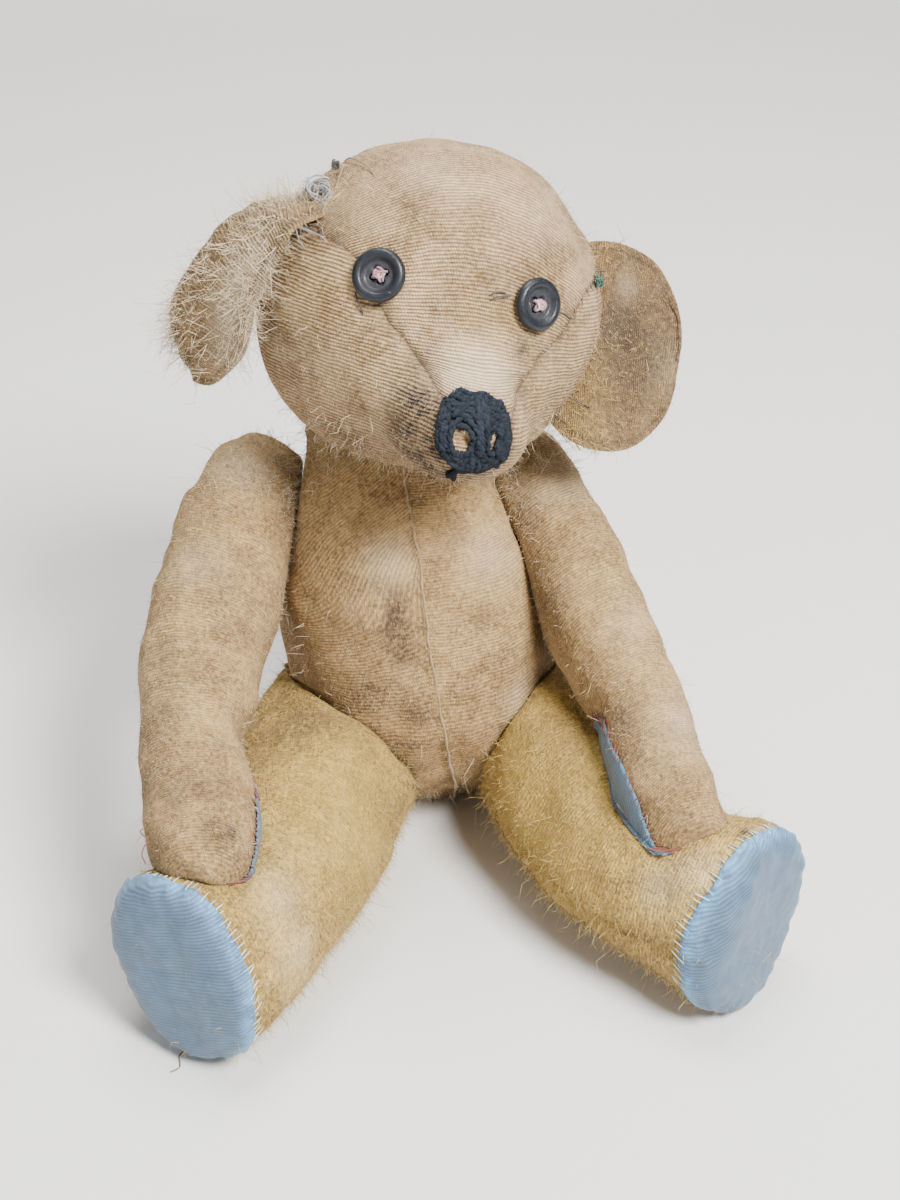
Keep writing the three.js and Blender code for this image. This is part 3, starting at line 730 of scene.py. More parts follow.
neckFrame = shift(*neck["at"]) @ turnAbout(yAxis, neck["tiltLeft"])
headFrame = neckFrame @ turnAbout(zAxis, neck["turnLeft"]) @ shift(0, -neck["forward"], neck["height"])
headMiddle = headFrame[:3, 3]
ways = {"left": 1, "right": -1}


# Flattened against a face at x = level, out to some distance from the joint's axis. keep is +1 for
# what lies beyond the face and -1 for what lies before it.
def flattened(points, matrix, level, radius, keep, softness=0.7):
    local = placed(points, np.linalg.inv(matrix))
    inside = 1 - smoothStep(np.hypot(local[..., 1], local[..., 2]), radius - 1, radius + 4)
    press = roundedMax if keep > 0 else roundedMin
    pressed = press(local[..., 0], np.full(local.shape[:-1], level), softness)
    local[..., 0] += inside * (pressed - local[..., 0])
    return placed(local, matrix)


def onFloor(points):
    lifted = points.copy()
    lifted[..., 2] = roundedMax(points[..., 2], np.full(points.shape[:-1], -0.2), 0.5)
    return lifted


# Soft round marks on cloth: the sum of bells, each with its middle, its three half sizes and strength.
def blots(points, spots):
    total = np.zeros(points.shape[:-1])
    for at, size, strength in spots:
        off = (points - np.array(at, float)) / np.array(size, float)
        total += strength * np.exp(-((off**2).sum(-1)))
    return np.clip(total, 0, 1)


def marksOf(points, soil, ink=(), pale=(), golden=()):
    return np.stack([blots(points, spots) for spots in (soil, ink, pale, golden)], -1)


# A stuffed piece from a closed grid of points, with its cloth attributes.
def stuffedPiece(name, body, grid, material, seam, outer, inner, marks):
    attributes = {"seam": seam[..., None], "outerThreads": outer, "innerThreads": inner, "marks": marks}
    flat = {title: closedList(values) for title, values in attributes.items()}
    made = makeObject(name, closedList(grid), closedFaces(*grid.shape[:2]), material, flat)
    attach(made, body)
    return made


def threadsOf(along, across):
    along, across = np.broadcast_arrays(along, across)
    return np.stack([along, across, np.zeros(along.shape)], -1)


def ringGrid(form, rings, sectors):
    coarse = 1
    height = evenHeights(form, rings // coarse)[:, None]
    turn = (np.arange(sectors // coarse) * 2 * math.pi / (sectors // coarse))[None]
    return np.broadcast_arrays(height, turn)


# torso

torso = {
    "rows": np.array([
        [6, 14, -8, 36, 36], [4, 1, 22, 45, 47], [-3, -6, 54, 49.5, 57],
        [-8, -4, 88, 47, 50], [-12, 1, 120, 43, 40], [-13, 3, 154, 41, 35],
    ], float),
    "across": (0, 1, 0), "ends": (2.6, 2.6), "rings": 170, "sectors": 210,
    # the front seam: the turn about the spine at even steps from the seat to the neck
    "seamTurn": (-88, -90, -90, -93, -93, -96, -94, -92),
    "seamHeight": 1.0, "seamDip": 0.9, "twill": 38, "length": 162, "frontRadius": 50, "backRadius": 46,
    "folds": [
        ((37, -42, 97), (0.2, 1, -0.15), 9, 2.2, 1.5),
        ((38, -38, 86), (0.1, 1, 0.1), 8, 2.0, 1.3),
        ((-46, -28, 92), (0, 1, -0.4), 12, 3, 1.2),
        ((12, -50, 22), (1, 0.2, 0.9), 8, 2, 1.1),
        ((2, -50, 20), (-0.8, 0.2, 1), 8, 2, 0.9),
        ((20, -42, 22), (1, 0.4, 0.5), 8, 2.2, 0.9),
        ((-30, -28, 118), (0.6, 0, 1), 14, 3.5, 0.9),
        ((16, -28, 124), (-0.5, 0, 1), 14, 3.5, 0.8),
        ((-14, 44, 118), (1, 0, 0.2), 18, 4, 0.9),
        ((-8, 46, 60), (1, 0, -0.2), 22, 4, 0.8),
    ],
    "soil": [
        ((-16, -50, 96), (5, 12, 9), 0.95), ((-15, -54, 86), (6, 12, 7), 0.8),
        ((-24, -58, 71), (12, 12, 5), 0.75),
        ((-10, -61, 62), (6, 12, 4), 0.8), ((-30, -55, 64), (14, 14, 4), 0.5),
        ((-15, -60, 50), (10, 14, 4.5), 0.75),
        ((-22, -52, 38), (12, 14, 5), 0.4), ((-9, -57, 38), (7, 10, 4), 0.5), ((2, -56, 27), (4, 8, 4), 0.9),
        ((6, -33, 124), (14, 12, 7), 0.22), ((10, -52, 92), (11, 12, 6), 0.35),
        ((20, -54, 78), (12, 12, 4), 0.45),
        ((28, -45, 60), (10, 12, 4), 0.4), ((-34, -46, 84), (12, 14, 14), 0.35),
        ((-40, -32, 62), (12, 20, 16), 0.45),
        ((12, -60, 54), (14, 12, 4), 0.35), ((-14, -24, 142), (34, 16, 7), 0.3),
        ((-38, -30, 100), (8, 14, 12), 0.3),
        ((36, -30, 70), (10, 18, 20), 0.35), ((-12, 46, 70), (26, 16, 22), 0.45),
        ((-20, 44, 110), (22, 16, 12), 0.4),
        ((8, 48, 40), (18, 16, 12), 0.4), ((-5, -30, 8), (30, 24, 9), 0.5),
    ],
    "pale": [
        ((18, -38, 110), (12, 12, 9), 0.35), ((26, -53, 62), (6, 10, 7), 0.3),
        ((-18, -42, 113), (9, 9, 9), 0.35)
    ],
}


# The belly's front seam as a turn about the spine, from evenly spaced values.
def torsoSeamTurn(along):
    values = np.radians(torso["seamTurn"])
    return np.interp(along, np.linspace(0, 1, len(values)), values)


def torsoRelief(height, turn):
    points = formPoints(torso, height, turn)
    along = (1 - height) / 2
    away = (turn - torsoSeamTurn(along) + math.pi) % (2 * math.pi) - math.pi
    front = away * torso["frontRadius"]
    back = ((away + 2 * math.pi) % (2 * math.pi) - math.pi) * torso["backRadius"]
    raised = torso["seamHeight"] * bell(front, 1.3) - torso["seamDip"] * bell(front, 6)
    hollow = -1.1 * bell(back, 1.6) - 0.8 * bell(back, 6)
    pucker = 0.3 * bell(front, 8) * np.sin(along * 150 + 3 * lumps(points, 20, 3))
    pucker += 0.35 * bell(back, 9) * np.sin(along * 120 + 3 * lumps(points, 22, 4))
    grow = 0.7 * lumps(points, 60, 1) + 0.4 * lumps(points, 24, 2) + raised + hollow + pucker
    return points, grow + folds(points, torso["folds"]), front


def torsoPoints(height, turn, grow=0):
    _, relief, front = torsoRelief(height, turn)
    points = formPoints(torso, height, turn, relief + grow)
    for side, way in ways.items():
        points = flattened(points, shoulderFrames[side], -gap, shoulder["hollow"], -1)
        points = flattened(points, hipFrames[side], -gap, hip["hollow"], -1)
    points = flattened(points, neckFrame @ turnAbout(yAxis, -90), -gap, 90, -1, 1.2)
    return onFloor(points), front


arm = {
    "raise": {"left": 66, "right": 67}, "splay": {"left": 13, "right": 8}, "bow": {"left": 0, "right": 4},
    "girth": {"left": 0.92, "right": 1.08}, "bowShares": (0, 0, 0.7, 1, 0.3, -0.7),
    "rows": [
        [15, 1, 24, 24, 20], [15.5, 0, 2, 24, 20.5], [18, 1, -38, 23, 20.5],
        [18, 1, -80, 20.5, 18], [15, -2, -119, 19.5, 17], [12, -7, -153, 24, 19],
    ],
    "ends": (3, 3.6), "rings": 170, "sectors": 120, "length": 190, "girthRadius": 19,
}
leg = {
    "splay": {"left": 20, "right": 23}, "bow": {"left": -9, "right": -2},
    "slump": {"left": 0.95, "right": 1.01},
    "bowShares": (0, 0, 0.6, 1, 0.8, 0),
    "rows": [
        [19, 29, 0, 27, 26], [19, 2, -1, 30, 31], [17, -38, -1, 31, 32],
        [15, -80, -3, 30, 30], [17, -118, -2, 27, 29], [22, -154, 6, 36, 27],
    ],
    "ends": (3, 8), "rings": 160, "sectors": 140, "length": 190, "girthRadius": 29,
}


# A limb's own form: its stations pushed sideways by the bow, and widened or drawn out for its side.
def limbForm(limb, side):
    rows = np.array(limb["rows"], float)
    girth = limb.get("girth", {}).get(side, 1)
    rows[:, [0, 4]] *= girth
    rows[:, 1] *= limb.get("slump", {}).get(side, 1)
    rows[:, 0] += limb["bow"][side] * np.array(limb["bowShares"])
    return {"rows": rows, "across": xAxis, "ends": limb["ends"]}


shoulderFrames = {s: jointFrame(shoulder, w, arm["splay"][s], -shoulder["rise"]) for s, w in ways.items()}
hipFrames = {s: jointFrame(hip, w, leg["splay"][s], hip["dip"]) for s, w in ways.items()}
armForms = {side: limbForm(arm, side) for side in ways}
legForms = {side: limbForm(leg, side) for side in ways}


def makeTorso():
    height, turn = ringGrid(torso, torso["rings"], torso["sectors"])
    grid, front = torsoPoints(height, turn)
    rise, across = torso["length"] * (1 - height) / 2, np.abs(front)
    slant = math.radians(torso["twill"])
    fade = smoothStep(grid[..., 2], 60, 120)
    tilted = rise * np.cos(slant * fade) + across * np.sin(slant * fade) * 0.7
    marks = marksOf(grid, torso["soil"], pale=torso["pale"])
    threads = threadsOf(across, rise + 2.5 * np.sin(turn * 2))
    inner = threadsOf(across, tilted)
    stuffedPiece("torso_cloth", "torso", grid, torsoCloth, front, threads, inner, marks)
    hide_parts("torso")
    return grid


torsoGrid = makeTorso()
print("torso made")


# The front seam's folded edge: a thin rolled ridge lying along the seam, with its thread dipping in
# and out of it.
def makeFrontSeam():
    along = np.linspace(0.12, 0.93, 420)
    height, turn = 1 - 2 * along, torsoSeamTurn(along)
    wobble = 0.003 * np.sin(along * 60) + 0.003 * np.sin(along * 143 + 1)
    path, _ = torsoPoints(height[:, None], (turn + wobble)[:, None], -0.15)
    radius = 0.4 + 0.1 * np.sin(along * 190) + 0.1 * np.sin(along * 77)
    made = strandPiece("torso_front_seam", path[None, :, 0], radius[None], 7, seamThread, np.array([0.5]))
    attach(made, "torso")


makeFrontSeam()

# legs and their pads

legMarks = {
    "left": {
        "folds": [
            ((16, -128, 26), (1, 0.1, 0.3), 16, 2.6, 1.5), ((22, -134, 24), (1, -0.4, 0.2), 12, 2, 1.2),
            ((6, -122, 20), (0.8, 0.3, 0.9), 12, 2.6, 1.3), ((14, -70, -30), (1, 0.1, 0), 20, 4, 1.4),
        ],
        "soil": [
            ((95, -135, 66), (10, 12, 6), 0.35), ((50, -140, 12), (22, 24, 12), 0.5),
            ((60, -150, 30), (10, 10, 10), 0.4),
            ((22, -70, 16), (20, 26, 14), 0.45), ((40, -75, 62), (12, 12, 8), 0.3),
            ((80, -60, 30), (16, 40, 16), 0.4),
        ],
        "ink": [((88, -136, 67), (4, 4, 6), 1.0), ((84, -131, 68), (3, 3.2, 5), 0.8)],
        "pale": [((72, -146, 56), (8, 8, 8), 0.35), ((60, -142, 48), (8, 8, 8), 0.25)],
        "golden": [((35, -85, 45), (30, 40, 22), 0.6), ((24, -110, 26), (18, 26, 16), 0.4)],
    },
    "right": {
        "folds": [
            ((14, -120, 24), (1, 0.2, 0.4), 16, 2.4, 1.3), ((10, -128, 22), (1, -0.3, 0.5), 12, 2, 1.1),
            ((20, -60, -30), (1, 0, 0), 20, 4, 1.4), ((16, -20, 30), (1, 0.3, 0), 16, 4, 1.2),
        ],
        "soil": [
            ((-50, -62, 60), (16, 10, 8), 0.7), ((-18, -70, 28), (16, 16, 10), 0.35),
            ((-62, -150, 10), (16, 20, 10), 0.4),
            ((-92, -60, 30), (14, 40, 16), 0.4), ((-72, -130, 60), (10, 10, 6), 0.25),
        ],
        "ink": [],
        "pale": [((-55, -147, 34), (9, 9, 14), 0.35), ((-60, -138, 52), (9, 9, 8), 0.3)],
        "golden": [((-35, -95, 48), (28, 34, 20), 0.55), ((-30, -110, 24), (18, 26, 16), 0.35)],
    },
}
legSeamTurn = math.radians(58)  # the leg's seam, on top of the outer side


def legPoints(side, height, turn, grow=0):
    form, way, matrix = legForms[side], ways[side], hipFrames[side]
    local = formPoints(form, height, turn)
    along = (1 - height) / 2
    seam = ((turn - legSeamTurn + math.pi) % (2 * math.pi) - math.pi) * leg["girthRadius"]
    under = ((turn - legSeamTurn) % (2 * math.pi) - math.pi) * leg["girthRadius"]
    relief = 0.7 * lumps(local, 46, 11 + way) + 0.35 * lumps(local, 17, 13 + way)
    relief += 0.12 * lumps(local, 6, 15 + way)
    groove = 0.8 * bell(seam, 1.3) + 0.5 * bell(seam, 5) + 0.9 * bell(under, 1.6) + 0.6 * bell(under, 6)
    relief -= groove * (1 - smoothStep(along, 0.92, 0.96))
    ends = smoothStep(along, 0.8, 0.9) * (1 - smoothStep(along, 0.995, 1))
    relief += ends * 0.28 * np.sin(turn * 23 + 2 * lumps(local, 18, 17 + way)) * bell(along - 0.95, 0.05)
    relief += folds(local, legMarks[side]["folds"])
    local = formPoints(form, height, turn, relief + grow)
    local = flattened(local, np.eye(4), gap, hip["hollow"] + 3, 1)
    local = mirrored(local, way)
    clear = smoothStep(np.hypot(local[..., 1], local[..., 2]), hip["hollow"] - 2, hip["hollow"] + 2)
    for angle in (0, 15, 30):
        swung = matrix @ turnAbout(xAxis, way * angle)
        pushed = pushedOut(placed(local, swung), torso, 1.4, clear)
        local = placed(pushed, np.linalg.inv(swung))
    return onFloor(placed(local, matrix)), seam


def makeLeg(side):
    height, turn = ringGrid(legForms[side], leg["rings"], leg["sectors"])
    grid, seam = legPoints(side, height, turn)
    spots = legMarks[side]
    marks = marksOf(grid, spots["soil"], spots["ink"], spots["pale"], spots["golden"])
    seam = np.abs(seam)
    threads = threadsOf(seam, leg["length"] * (1 - height) / 2)
    body = f"{side}_leg"
    stuffedPiece(f"{side}_leg_cloth", body, grid, legCloth, seam, threads, threads, marks)
    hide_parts(f"{side}_leg")
    return grid


legGrids = {side: makeLeg(side) for side in ways}
print("legs made")

footPad = {
    "wrap": {"left": 0.04, "right": 0.045}, "lean": {"left": 0.027, "right": 0.012},
    "leanTurn": {"left": 235, "right": 120},
    "lift": 0.35, "thickness": 0.9, "slant": {"left": 52, "right": 8},
}


# The far edge of a foot pad as a height along the leg, wavering with the turn.
def padEdge(side, turn):
    lean = footPad["lean"][side] * np.cos(turn - math.radians(footPad["leanTurn"][side]))
    base = -1 + 2 * (footPad["wrap"][side] + lean)
    waver = 0.008 * np.sin(turn * 3 + ways[side]) + 0.005 * np.sin(turn * 7 + 1) + 0.0025 * np.sin(turn * 17)
    return base + waver


# A foot pad: rings over the end of the leg from its middle to the edge, out on the face and back
# underneath, so that it closes on itself.
def makeFootPad(side):
    sectors = 120
    form = legForms[side]
    turn = np.arange(sectors) * 2 * math.pi / sectors
    heights = evenHeights(form, 700)[::-1]
    edge = padEdge(side, turn)
    share = np.linspace(0, 1, 56)[:, None]
    last = np.interp(edge, heights, np.arange(len(heights)))
    height = np.interp(share * last, np.arange(len(heights)), heights)
    inset = (1 - share) * 30
    pucker = 0.16 * np.sin(turn * 31 + 2 * np.sin(turn * 3)) * smoothStep(share, 0.72, 0.97)
    crown = footPad["lift"] + footPad["thickness"] * (1 - smoothStep(share, 0.985, 1.0) * 0.6) + pucker
    outside, _ = legPoints(side, height, turn[None], crown)
    inside, _ = legPoints(side, height, turn[None], footPad["lift"] + 0 * share)
    grid = np.concatenate([outside, inside[::-1]])
    local = placed(grid, np.linalg.inv(hipFrames[side]))
    slant = math.radians(footPad["slant"][side])
    cosine, sine = math.cos(slant), math.sin(slant)
    x, z = local[..., 0], local[..., 2]
    threads = threadsOf(x * cosine + z * sine, z * cosine - x * sine)
    seam = np.concatenate([inset + 0 * outside[..., 0], inset[::-1] + 0 * outside[..., 0]])
    attributes = {"seam": closedList(seam[..., None]), "innerThreads": closedList(threads)}
    made = makeObject(
        f"{side}_sole", closedList(grid), closedFaces(*grid.shape[:2]), soleSatin, attributes
    )
    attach(made, f"{side}_leg")
    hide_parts(f"{side}_foot_pad")
    return turn, edge


# Overcast stitches: each arches over an edge from one side to the other, slanting, and goes in at
# both ends. under and over are points either side of the edge, and out is the way up from the cloth.
def overcast(name, body, under, over, out, radius, lift, material):
    count = len(under)
    steps = np.linspace(0, 1, 7)[None, :, None]
    jitter = chance.normal(size=(2, count, 3)) * 0.25
    start, end = under + jitter[0], over + jitter[1]
    arch = np.sin(steps * math.pi) ** 0.7 * lift * chance.uniform(0.7, 1.3, (count, 1, 1))
    paths = start[:, None] * (1 - steps) + end[:, None] * steps + out[:, None] * (arch - 0.25)
    thick = radius * chance.uniform(0.75, 1.2, (count, 1)) * np.array([0.6, 1, 1, 1, 1, 1, 0.6])
    made = strandPiece(name, paths, thick, 5, material)
    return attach(made, body)


def makeFootStitches(side):
    count = 84
    turn = (np.arange(count) + chance.uniform(-0.25, 0.25, count)) * 2 * math.pi / count
    edge = padEdge(side, turn)
    lean = 0.03 * chance.uniform(0.5, 1.5, count)
    inner, _ = legPoints(side, (edge - 0.018)[None], turn[None], 1.2)
    outer, _ = legPoints(side, (edge + 0.024)[None], (turn + lean)[None], 0.1)
    lifted, _ = legPoints(side, (edge - 0.018)[None], turn[None], 3.2)
    out = unit(lifted[0] - inner[0])
    overcast(f"{side}_sole_stitches", f"{side}_leg", inner[0], outer[0], out, 0.18, 0.45, blueThread)


for side in ways:
    makeFootPad(side)
    makeFootStitches(side)
print("foot pads made")

# arms and paw pads

armMarks = {
    "left": {
        "folds": [
            ((16, -16, 8), (0.2, 0.3, -1), 12, 2.6, 1.3), ((24, -14, 6), (0.2, 0.2, -1), 12, 2.4, 1.1),
            ((8, -16, 4), (-0.2, 0.4, -1), 10, 2.4, 1.0), ((0, 12, -96), (0.1, 1, 0.2), 12, 2.6, 1.3),
            ((18, -20, -84), (1, 0.2, 0.1), 14, 3.4, 0.9), ((16, 18, -20), (1, 0, -0.3), 14, 3, 1.2),
        ],
        "soil": [
            ((34, -50, 100), (8, 14, 12), 0.6), ((52, -97, 84), (6, 10, 8), 0.7),
            ((58, -40, 100), (10, 12, 8), 0.4),
            ((30, -30, 122), (5, 10, 12), 0.75), ((70, -132, 70), (8, 10, 6), 0.35),
            ((76, -100, 62), (10, 20, 12), 0.45),
            ((62, -72, 70), (10, 20, 12), 0.4), ((60, -118, 80), (6, 8, 6), 0.35),
        ],
        "ink": [((52.5, -97, 85), (2.5, 4, 3), 0.6)],
        "pale": [
            ((44, -17, 128), (12, 12, 8), 0.4), ((72, -104, 84), (9, 14, 9), 0.3),
            ((62, -70, 100), (9, 14, 8), 0.2)
        ],
    },
    "right": {
        "folds": [
            ((16, -16, 8), (0.2, 0.3, -1), 14, 2.6, 1.2), ((10, -16, 10), (-0.3, 0.3, -1), 12, 2.4, 1.1),
            ((-2, 2, -104), (0.2, 1, 0.1), 14, 2.8, 1.7), ((6, -18, -106), (1, 0.2, 0.1), 12, 3, 0.9),
            ((18, -20, -60), (1, 0.2, 0.1), 14, 3.4, 0.8), ((16, 18, -20), (1, 0, -0.3), 14, 3, 1.2),
        ],
        "soil": [
            ((-92, -76, 96), (9, 14, 10), 0.45), ((-86, -120, 84), (14, 8, 7), 0.5),
            ((-78, -136, 76), (7, 6, 5), 0.75),
            ((-70, -60, 108), (9, 14, 9), 0.35), ((-50, -12, 112), (6, 16, 16), 0.55),
            ((-96, -100, 70), (9, 20, 12), 0.45),
            ((-66, -130, 66), (7, 8, 7), 0.5), ((-94, -95, 88), (8, 10, 8), 0.35),
        ],
        "ink": [((-74, -133, 76), (2.6, 3.5, 3), 0.8), ((-80, -130, 79), (2.5, 3, 3), 0.5)],
        "pale": [((-64, -8, 134), (12, 12, 7), 0.35), ((-82, -46, 120), (10, 12, 8), 0.25)],
    },
}


def armPoints(side, height, turn, grow=0, room=0.9):
    form, way = armForms[side], ways[side]
    local = formPoints(form, height, turn)
    along = (1 - height) / 2
    seam = ((turn - math.radians(200) + math.pi) % (2 * math.pi) - math.pi) * arm["girthRadius"]
    medial = np.maximum(0, np.cos(turn - math.radians(285)))
    relief = 0.6 * lumps(local, 40, 31 + way) + 0.35 * lumps(local, 15, 33 + way)
    relief += 0.1 * lumps(local, 6, 35 + way)
    relief -= (0.9 * bell(seam, 1.4) + 0.6 * bell(seam, 5)) * (1 - smoothStep(along, 0.6, 0.66))
    relief -= 3.2 * medial * bell(along - 0.69, 0.06)
    relief += 2.2 * medial * bell(along - 0.86, 0.07)
    relief += folds(local, armMarks[side]["folds"])
    local = formPoints(form, height, turn, relief + grow)
    local = placed(local, turnAbout(xAxis, -arm["raise"][side]))
    local = flattened(local, np.eye(4), gap, 90, 1)
    clear = smoothStep(np.hypot(local[..., 1], local[..., 2]), shoulder["hollow"] - 2, shoulder["hollow"] + 3)
    points = placed(mirrored(local, way), shoulderFrames[side])
    points = pushedOut(points, torso, 1.2, clear)
    legSide = mirrored(placed(points, np.linalg.inv(hipFrames[side])), way)
    legSide = pushedOut(legSide, legForms[side], room + grow)
    return placed(mirrored(legSide, way), hipFrames[side]), seam


def makeArm(side):
    height, turn = ringGrid(armForms[side], arm["rings"], arm["sectors"])
    grid, seam = armPoints(side, height, turn)
    spots = armMarks[side]
    marks = marksOf(grid, spots["soil"], spots["ink"], spots["pale"])
    seam = np.abs(seam)
    threads = threadsOf(seam, arm["length"] * (1 - height) / 2 + 1.5 * np.sin(turn))
    stuffedPiece(
        f"{side}_arm_cloth", f"{side}_arm", grid, armCloth, seam, threads, threads, marks
    )
    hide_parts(f"{side}_arm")
    return grid


armGrids = {side: makeArm(side) for side in ways}
print("arms made")

pawPad = {
    "turn": {"left": 250, "right": 240}, "along": {"left": 0.83, "right": 0.87},
    "halfAlong": {"left": 0.16, "right": 0.122},
    "halfTurn": 54, "lift": 0.35, "thickness": 0.8,
}


# A place on a paw pad: share 0 is its middle and 1 its edge, and turned goes round it.
def pawPlace(side, share, turned):
    rough = 1 + 0.03 * np.sin(turned * 5 + ways[side]) + 0.02 * np.sin(turned * 11)
    along = pawPad["along"][side] + pawPad["halfAlong"][side] * share * rough * np.cos(turned)
    halfTurn = math.radians(pawPad["halfTurn"])
    turn = math.radians(pawPad["turn"][side]) + halfTurn * share * rough * np.sin(turned)
    return 1 - 2 * np.clip(along, 0, 0.9995), turn


def makePawPad(side):
    sectors = 100
    turned = (np.arange(sectors) * 2 * math.pi / sectors)[None]
    share = np.linspace(0, 1, 30)[:, None]
    height, turn = pawPlace(side, share, turned)
    crown = pawPad["lift"] + pawPad["thickness"] * (1 - 0.6 * smoothStep(share, 0.97, 1.0)) + 0 * turned
    crown = crown + 0.25 * np.sin(turned * 27) * smoothStep(share, 0.75, 0.98)
    outside, _ = armPoints(side, height, turn, crown, 0.3)
    inside, _ = armPoints(side, height, turn, pawPad["lift"] + 0 * crown, 0.3)
    grid = np.concatenate([outside, inside[::-1]])
    threads = threadsOf(np.concatenate([turn, turn[::-1]]) * 19, np.concatenate([height, height[::-1]]) * 90)
    seam = (1 - np.concatenate([share, share[::-1]])) * 16 + 0 * turned
    attributes = {"seam": closedList(seam[..., None]), "innerThreads": closedList(threads)}
    made = makeObject(
        f"{side}_paw", closedList(grid), closedFaces(*grid.shape[:2]), pawSatin, attributes
    )
    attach(made, f"{side}_arm")
    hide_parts(f"{side}_paw_pad")
    count = 62
    turned = (np.arange(count) + chance.uniform(-0.3, 0.3, count)) * 2 * math.pi / count
    inner, _ = armPoints(side, *(v[None] for v in pawPlace(side, 0.9, turned)), 1.1, 0.3)
    outer, _ = armPoints(side, *(v[None] for v in pawPlace(side, 1.1, turned + 0.05)), 0.2, 0.3)
    lifted, _ = armPoints(side, *(v[None] for v in pawPlace(side, 0.9, turned)), 3.1, 0.3)
    out = unit(lifted[0] - inner[0])
    overcast(f"{side}_paw_stitches", f"{side}_arm", inner[0], outer[0], out, 0.24, 0.5, redThread)


for side in ways:
    makePawPad(side)
print("paw pads made")

# head

head = {
    "skull": (58, 51, 56), "muzzle": [((0, -26, -8), (36, 36, 30)), ((0, -50, -12), (23, 28, 18.5))],
    "softness": 3, "rings": 170, "sectors": 220,
    # the middle panel: half its angle either side of the top, from the nose to the back of the head
    "panelAt": (-80, -66, -56, -48, -44, -29, -15, 5, 25, 42, 52),
    "panelAngle": (46, 45, 46, 49, 53, 55, 62, 60, 50, 32, 12),
    "ribBow": 0.0042, "cheekTilt": 0.25,
    "folds": [
        ((-28, -46, 8), (1, 0.6, 0.4), 6, 1.5, 0.8), ((-22, -52, 4), (1, 0.8, 0.6), 6, 1.4, 0.7),
        ((-44, -8, 34), (0.4, 0.4, 1), 9, 2.6, 1.2), ((-40, -2, 38), (0.9, 0.3, 0.8), 9, 2.4, 1.0),
        ((14, -50, 12), (0.3, 0.3, 1), 4, 1.5, 1.0), ((0, -40, 22), (1, 0, 0), 16, 5, 0.7),
        ((-14, -60, -24), (1, 0.4, 0.2), 9, 2.4, 0.6), ((50, -10, 10), (0.2, 0.5, 1), 12, 3, 0.8),
    ],
    "soil": [
        ((-20, -60, -12), (10, 9, 10), 0.45), ((-15, -66, -22), (12, 12, 6), 0.7),
        ((-25, -38, -34), (18, 18, 8), 0.5),
        ((6, -44, 33), (16, 12, 8), 0.42), ((-48, -27, -9), (9, 12, 12), 0.45),
        ((15, -50, 13), (3, 3, 4), 0.9), ((-19, -56, 5), (5, 9, 6), 0.55), ((16, -58, 0), (4, 9, 8), 0.5),
        ((2, -45, 19), (16, 4, 3), 0.35),
        ((36, -36, -10), (10, 12, 12), 0.4), ((-1.5, -74, -5.5), (11, 9, 9), 1.4),
        ((-6.3, -75, -7.4), (3.2, 9, 3.5), -2.4), ((3.9, -75, -6), (1.9, 9, 3.2), -1.8),
        ((16, -60, -24), (14, 12, 6), 0.5), ((30, -40, 12), (9, 10, 8), 0.3),
        ((-44, -14, 24), (7, 9, 12), 0.4), ((0, 45, 10), (30, 14, 24), 0.45),
        ((-22, -24, 44), (14, 14, 8), 0.25),
        ((20, -30, 42), (14, 12, 8), 0.2), ((0, -66, -30), (20, 14, 5), 0.7),
    ],
    "ink": [
        ((-16, -66, -3), (4.5, 6, 5), 1.0), ((-19, -61, -3), (5, 6, 4), 0.8),
        ((-20, -64, -13), (4, 6, 5), 0.75),
        ((-13, -72, -13), (4, 5, 4), 0.9), ((-17, -58, -22), (7, 7, 4), 0.6),
        ((-9, -70, -21), (8, 6, 4), 0.8),
        ((4, -74, -20), (7, 5, 3.5), 0.5), ((-22, -54, -6), (4, 5, 5), 0.4), ((9, -62, 4), (4, 6, 3), 0.3),
        ((-1.5, -74, -5.5), (11.5, 9, 9.5), 1.9),
        ((-6.3, -75, -7.4), (3.2, 9, 3.5), -3.0), ((3.9, -75, -6), (1.9, 9, 3.2), -2.2),
    ],
    "pale": [
        ((-3, -57, 10), (13, 9, 8), 1.0), ((-7, -64, 6), (8, 7, 5), 0.7), ((7, -62, 7), (8, 8, 6), 0.7),
        ((14, -22, 48), (20, 14, 8), 0.35), ((-16, -10, 52), (16, 14, 6), 0.35),
        ((44, -20, 26), (8, 10, 10), 0.25),
    ],
    "golden": [((4, -46, 20), (14, 6, 4), 0.35), ((-46, -22, 6), (8, 8, 10), 0.35)],
}


# The far distance from the head's middle to an ellipsoid, along unit directions.
def ellipsoidReach(aim, middle, radii):
    scaled, centre = aim / np.array(radii), np.array(middle) / np.array(radii)
    a, b = (scaled**2).sum(-1), scaled @ centre
    return (b + np.sqrt(np.maximum(0, b * b - a * (centre @ centre - 1)))) / a


def headReach(aim):
    reaches = [ellipsoidReach(aim, (0, 0, 0), head["skull"])]
    reaches += [ellipsoidReach(aim, middle, radii) for middle, radii in head["muzzle"]]
    return head["softness"] * np.logaddexp.reduce(np.stack(reaches) / head["softness"])


# Directions from the head's middle: rings run round the nose and crowd towards it.
def headAim(share, turned):
    fromNose = math.pi * share**1.25
    flat = np.sin(fromNose)
    return np.stack(np.broadcast_arrays(flat * np.cos(turned), -np.cos(fromNose), flat * np.sin(turned)), -1)


# The middle panel at a place along the head: the height that its angles are measured from, which
# falls towards the nose, and half its angle.
def panelShape(y):
    half = np.radians(np.interp(y, head["panelAt"], head["panelAngle"]))
    return -12 * smoothStep(-y, 20, 56), half


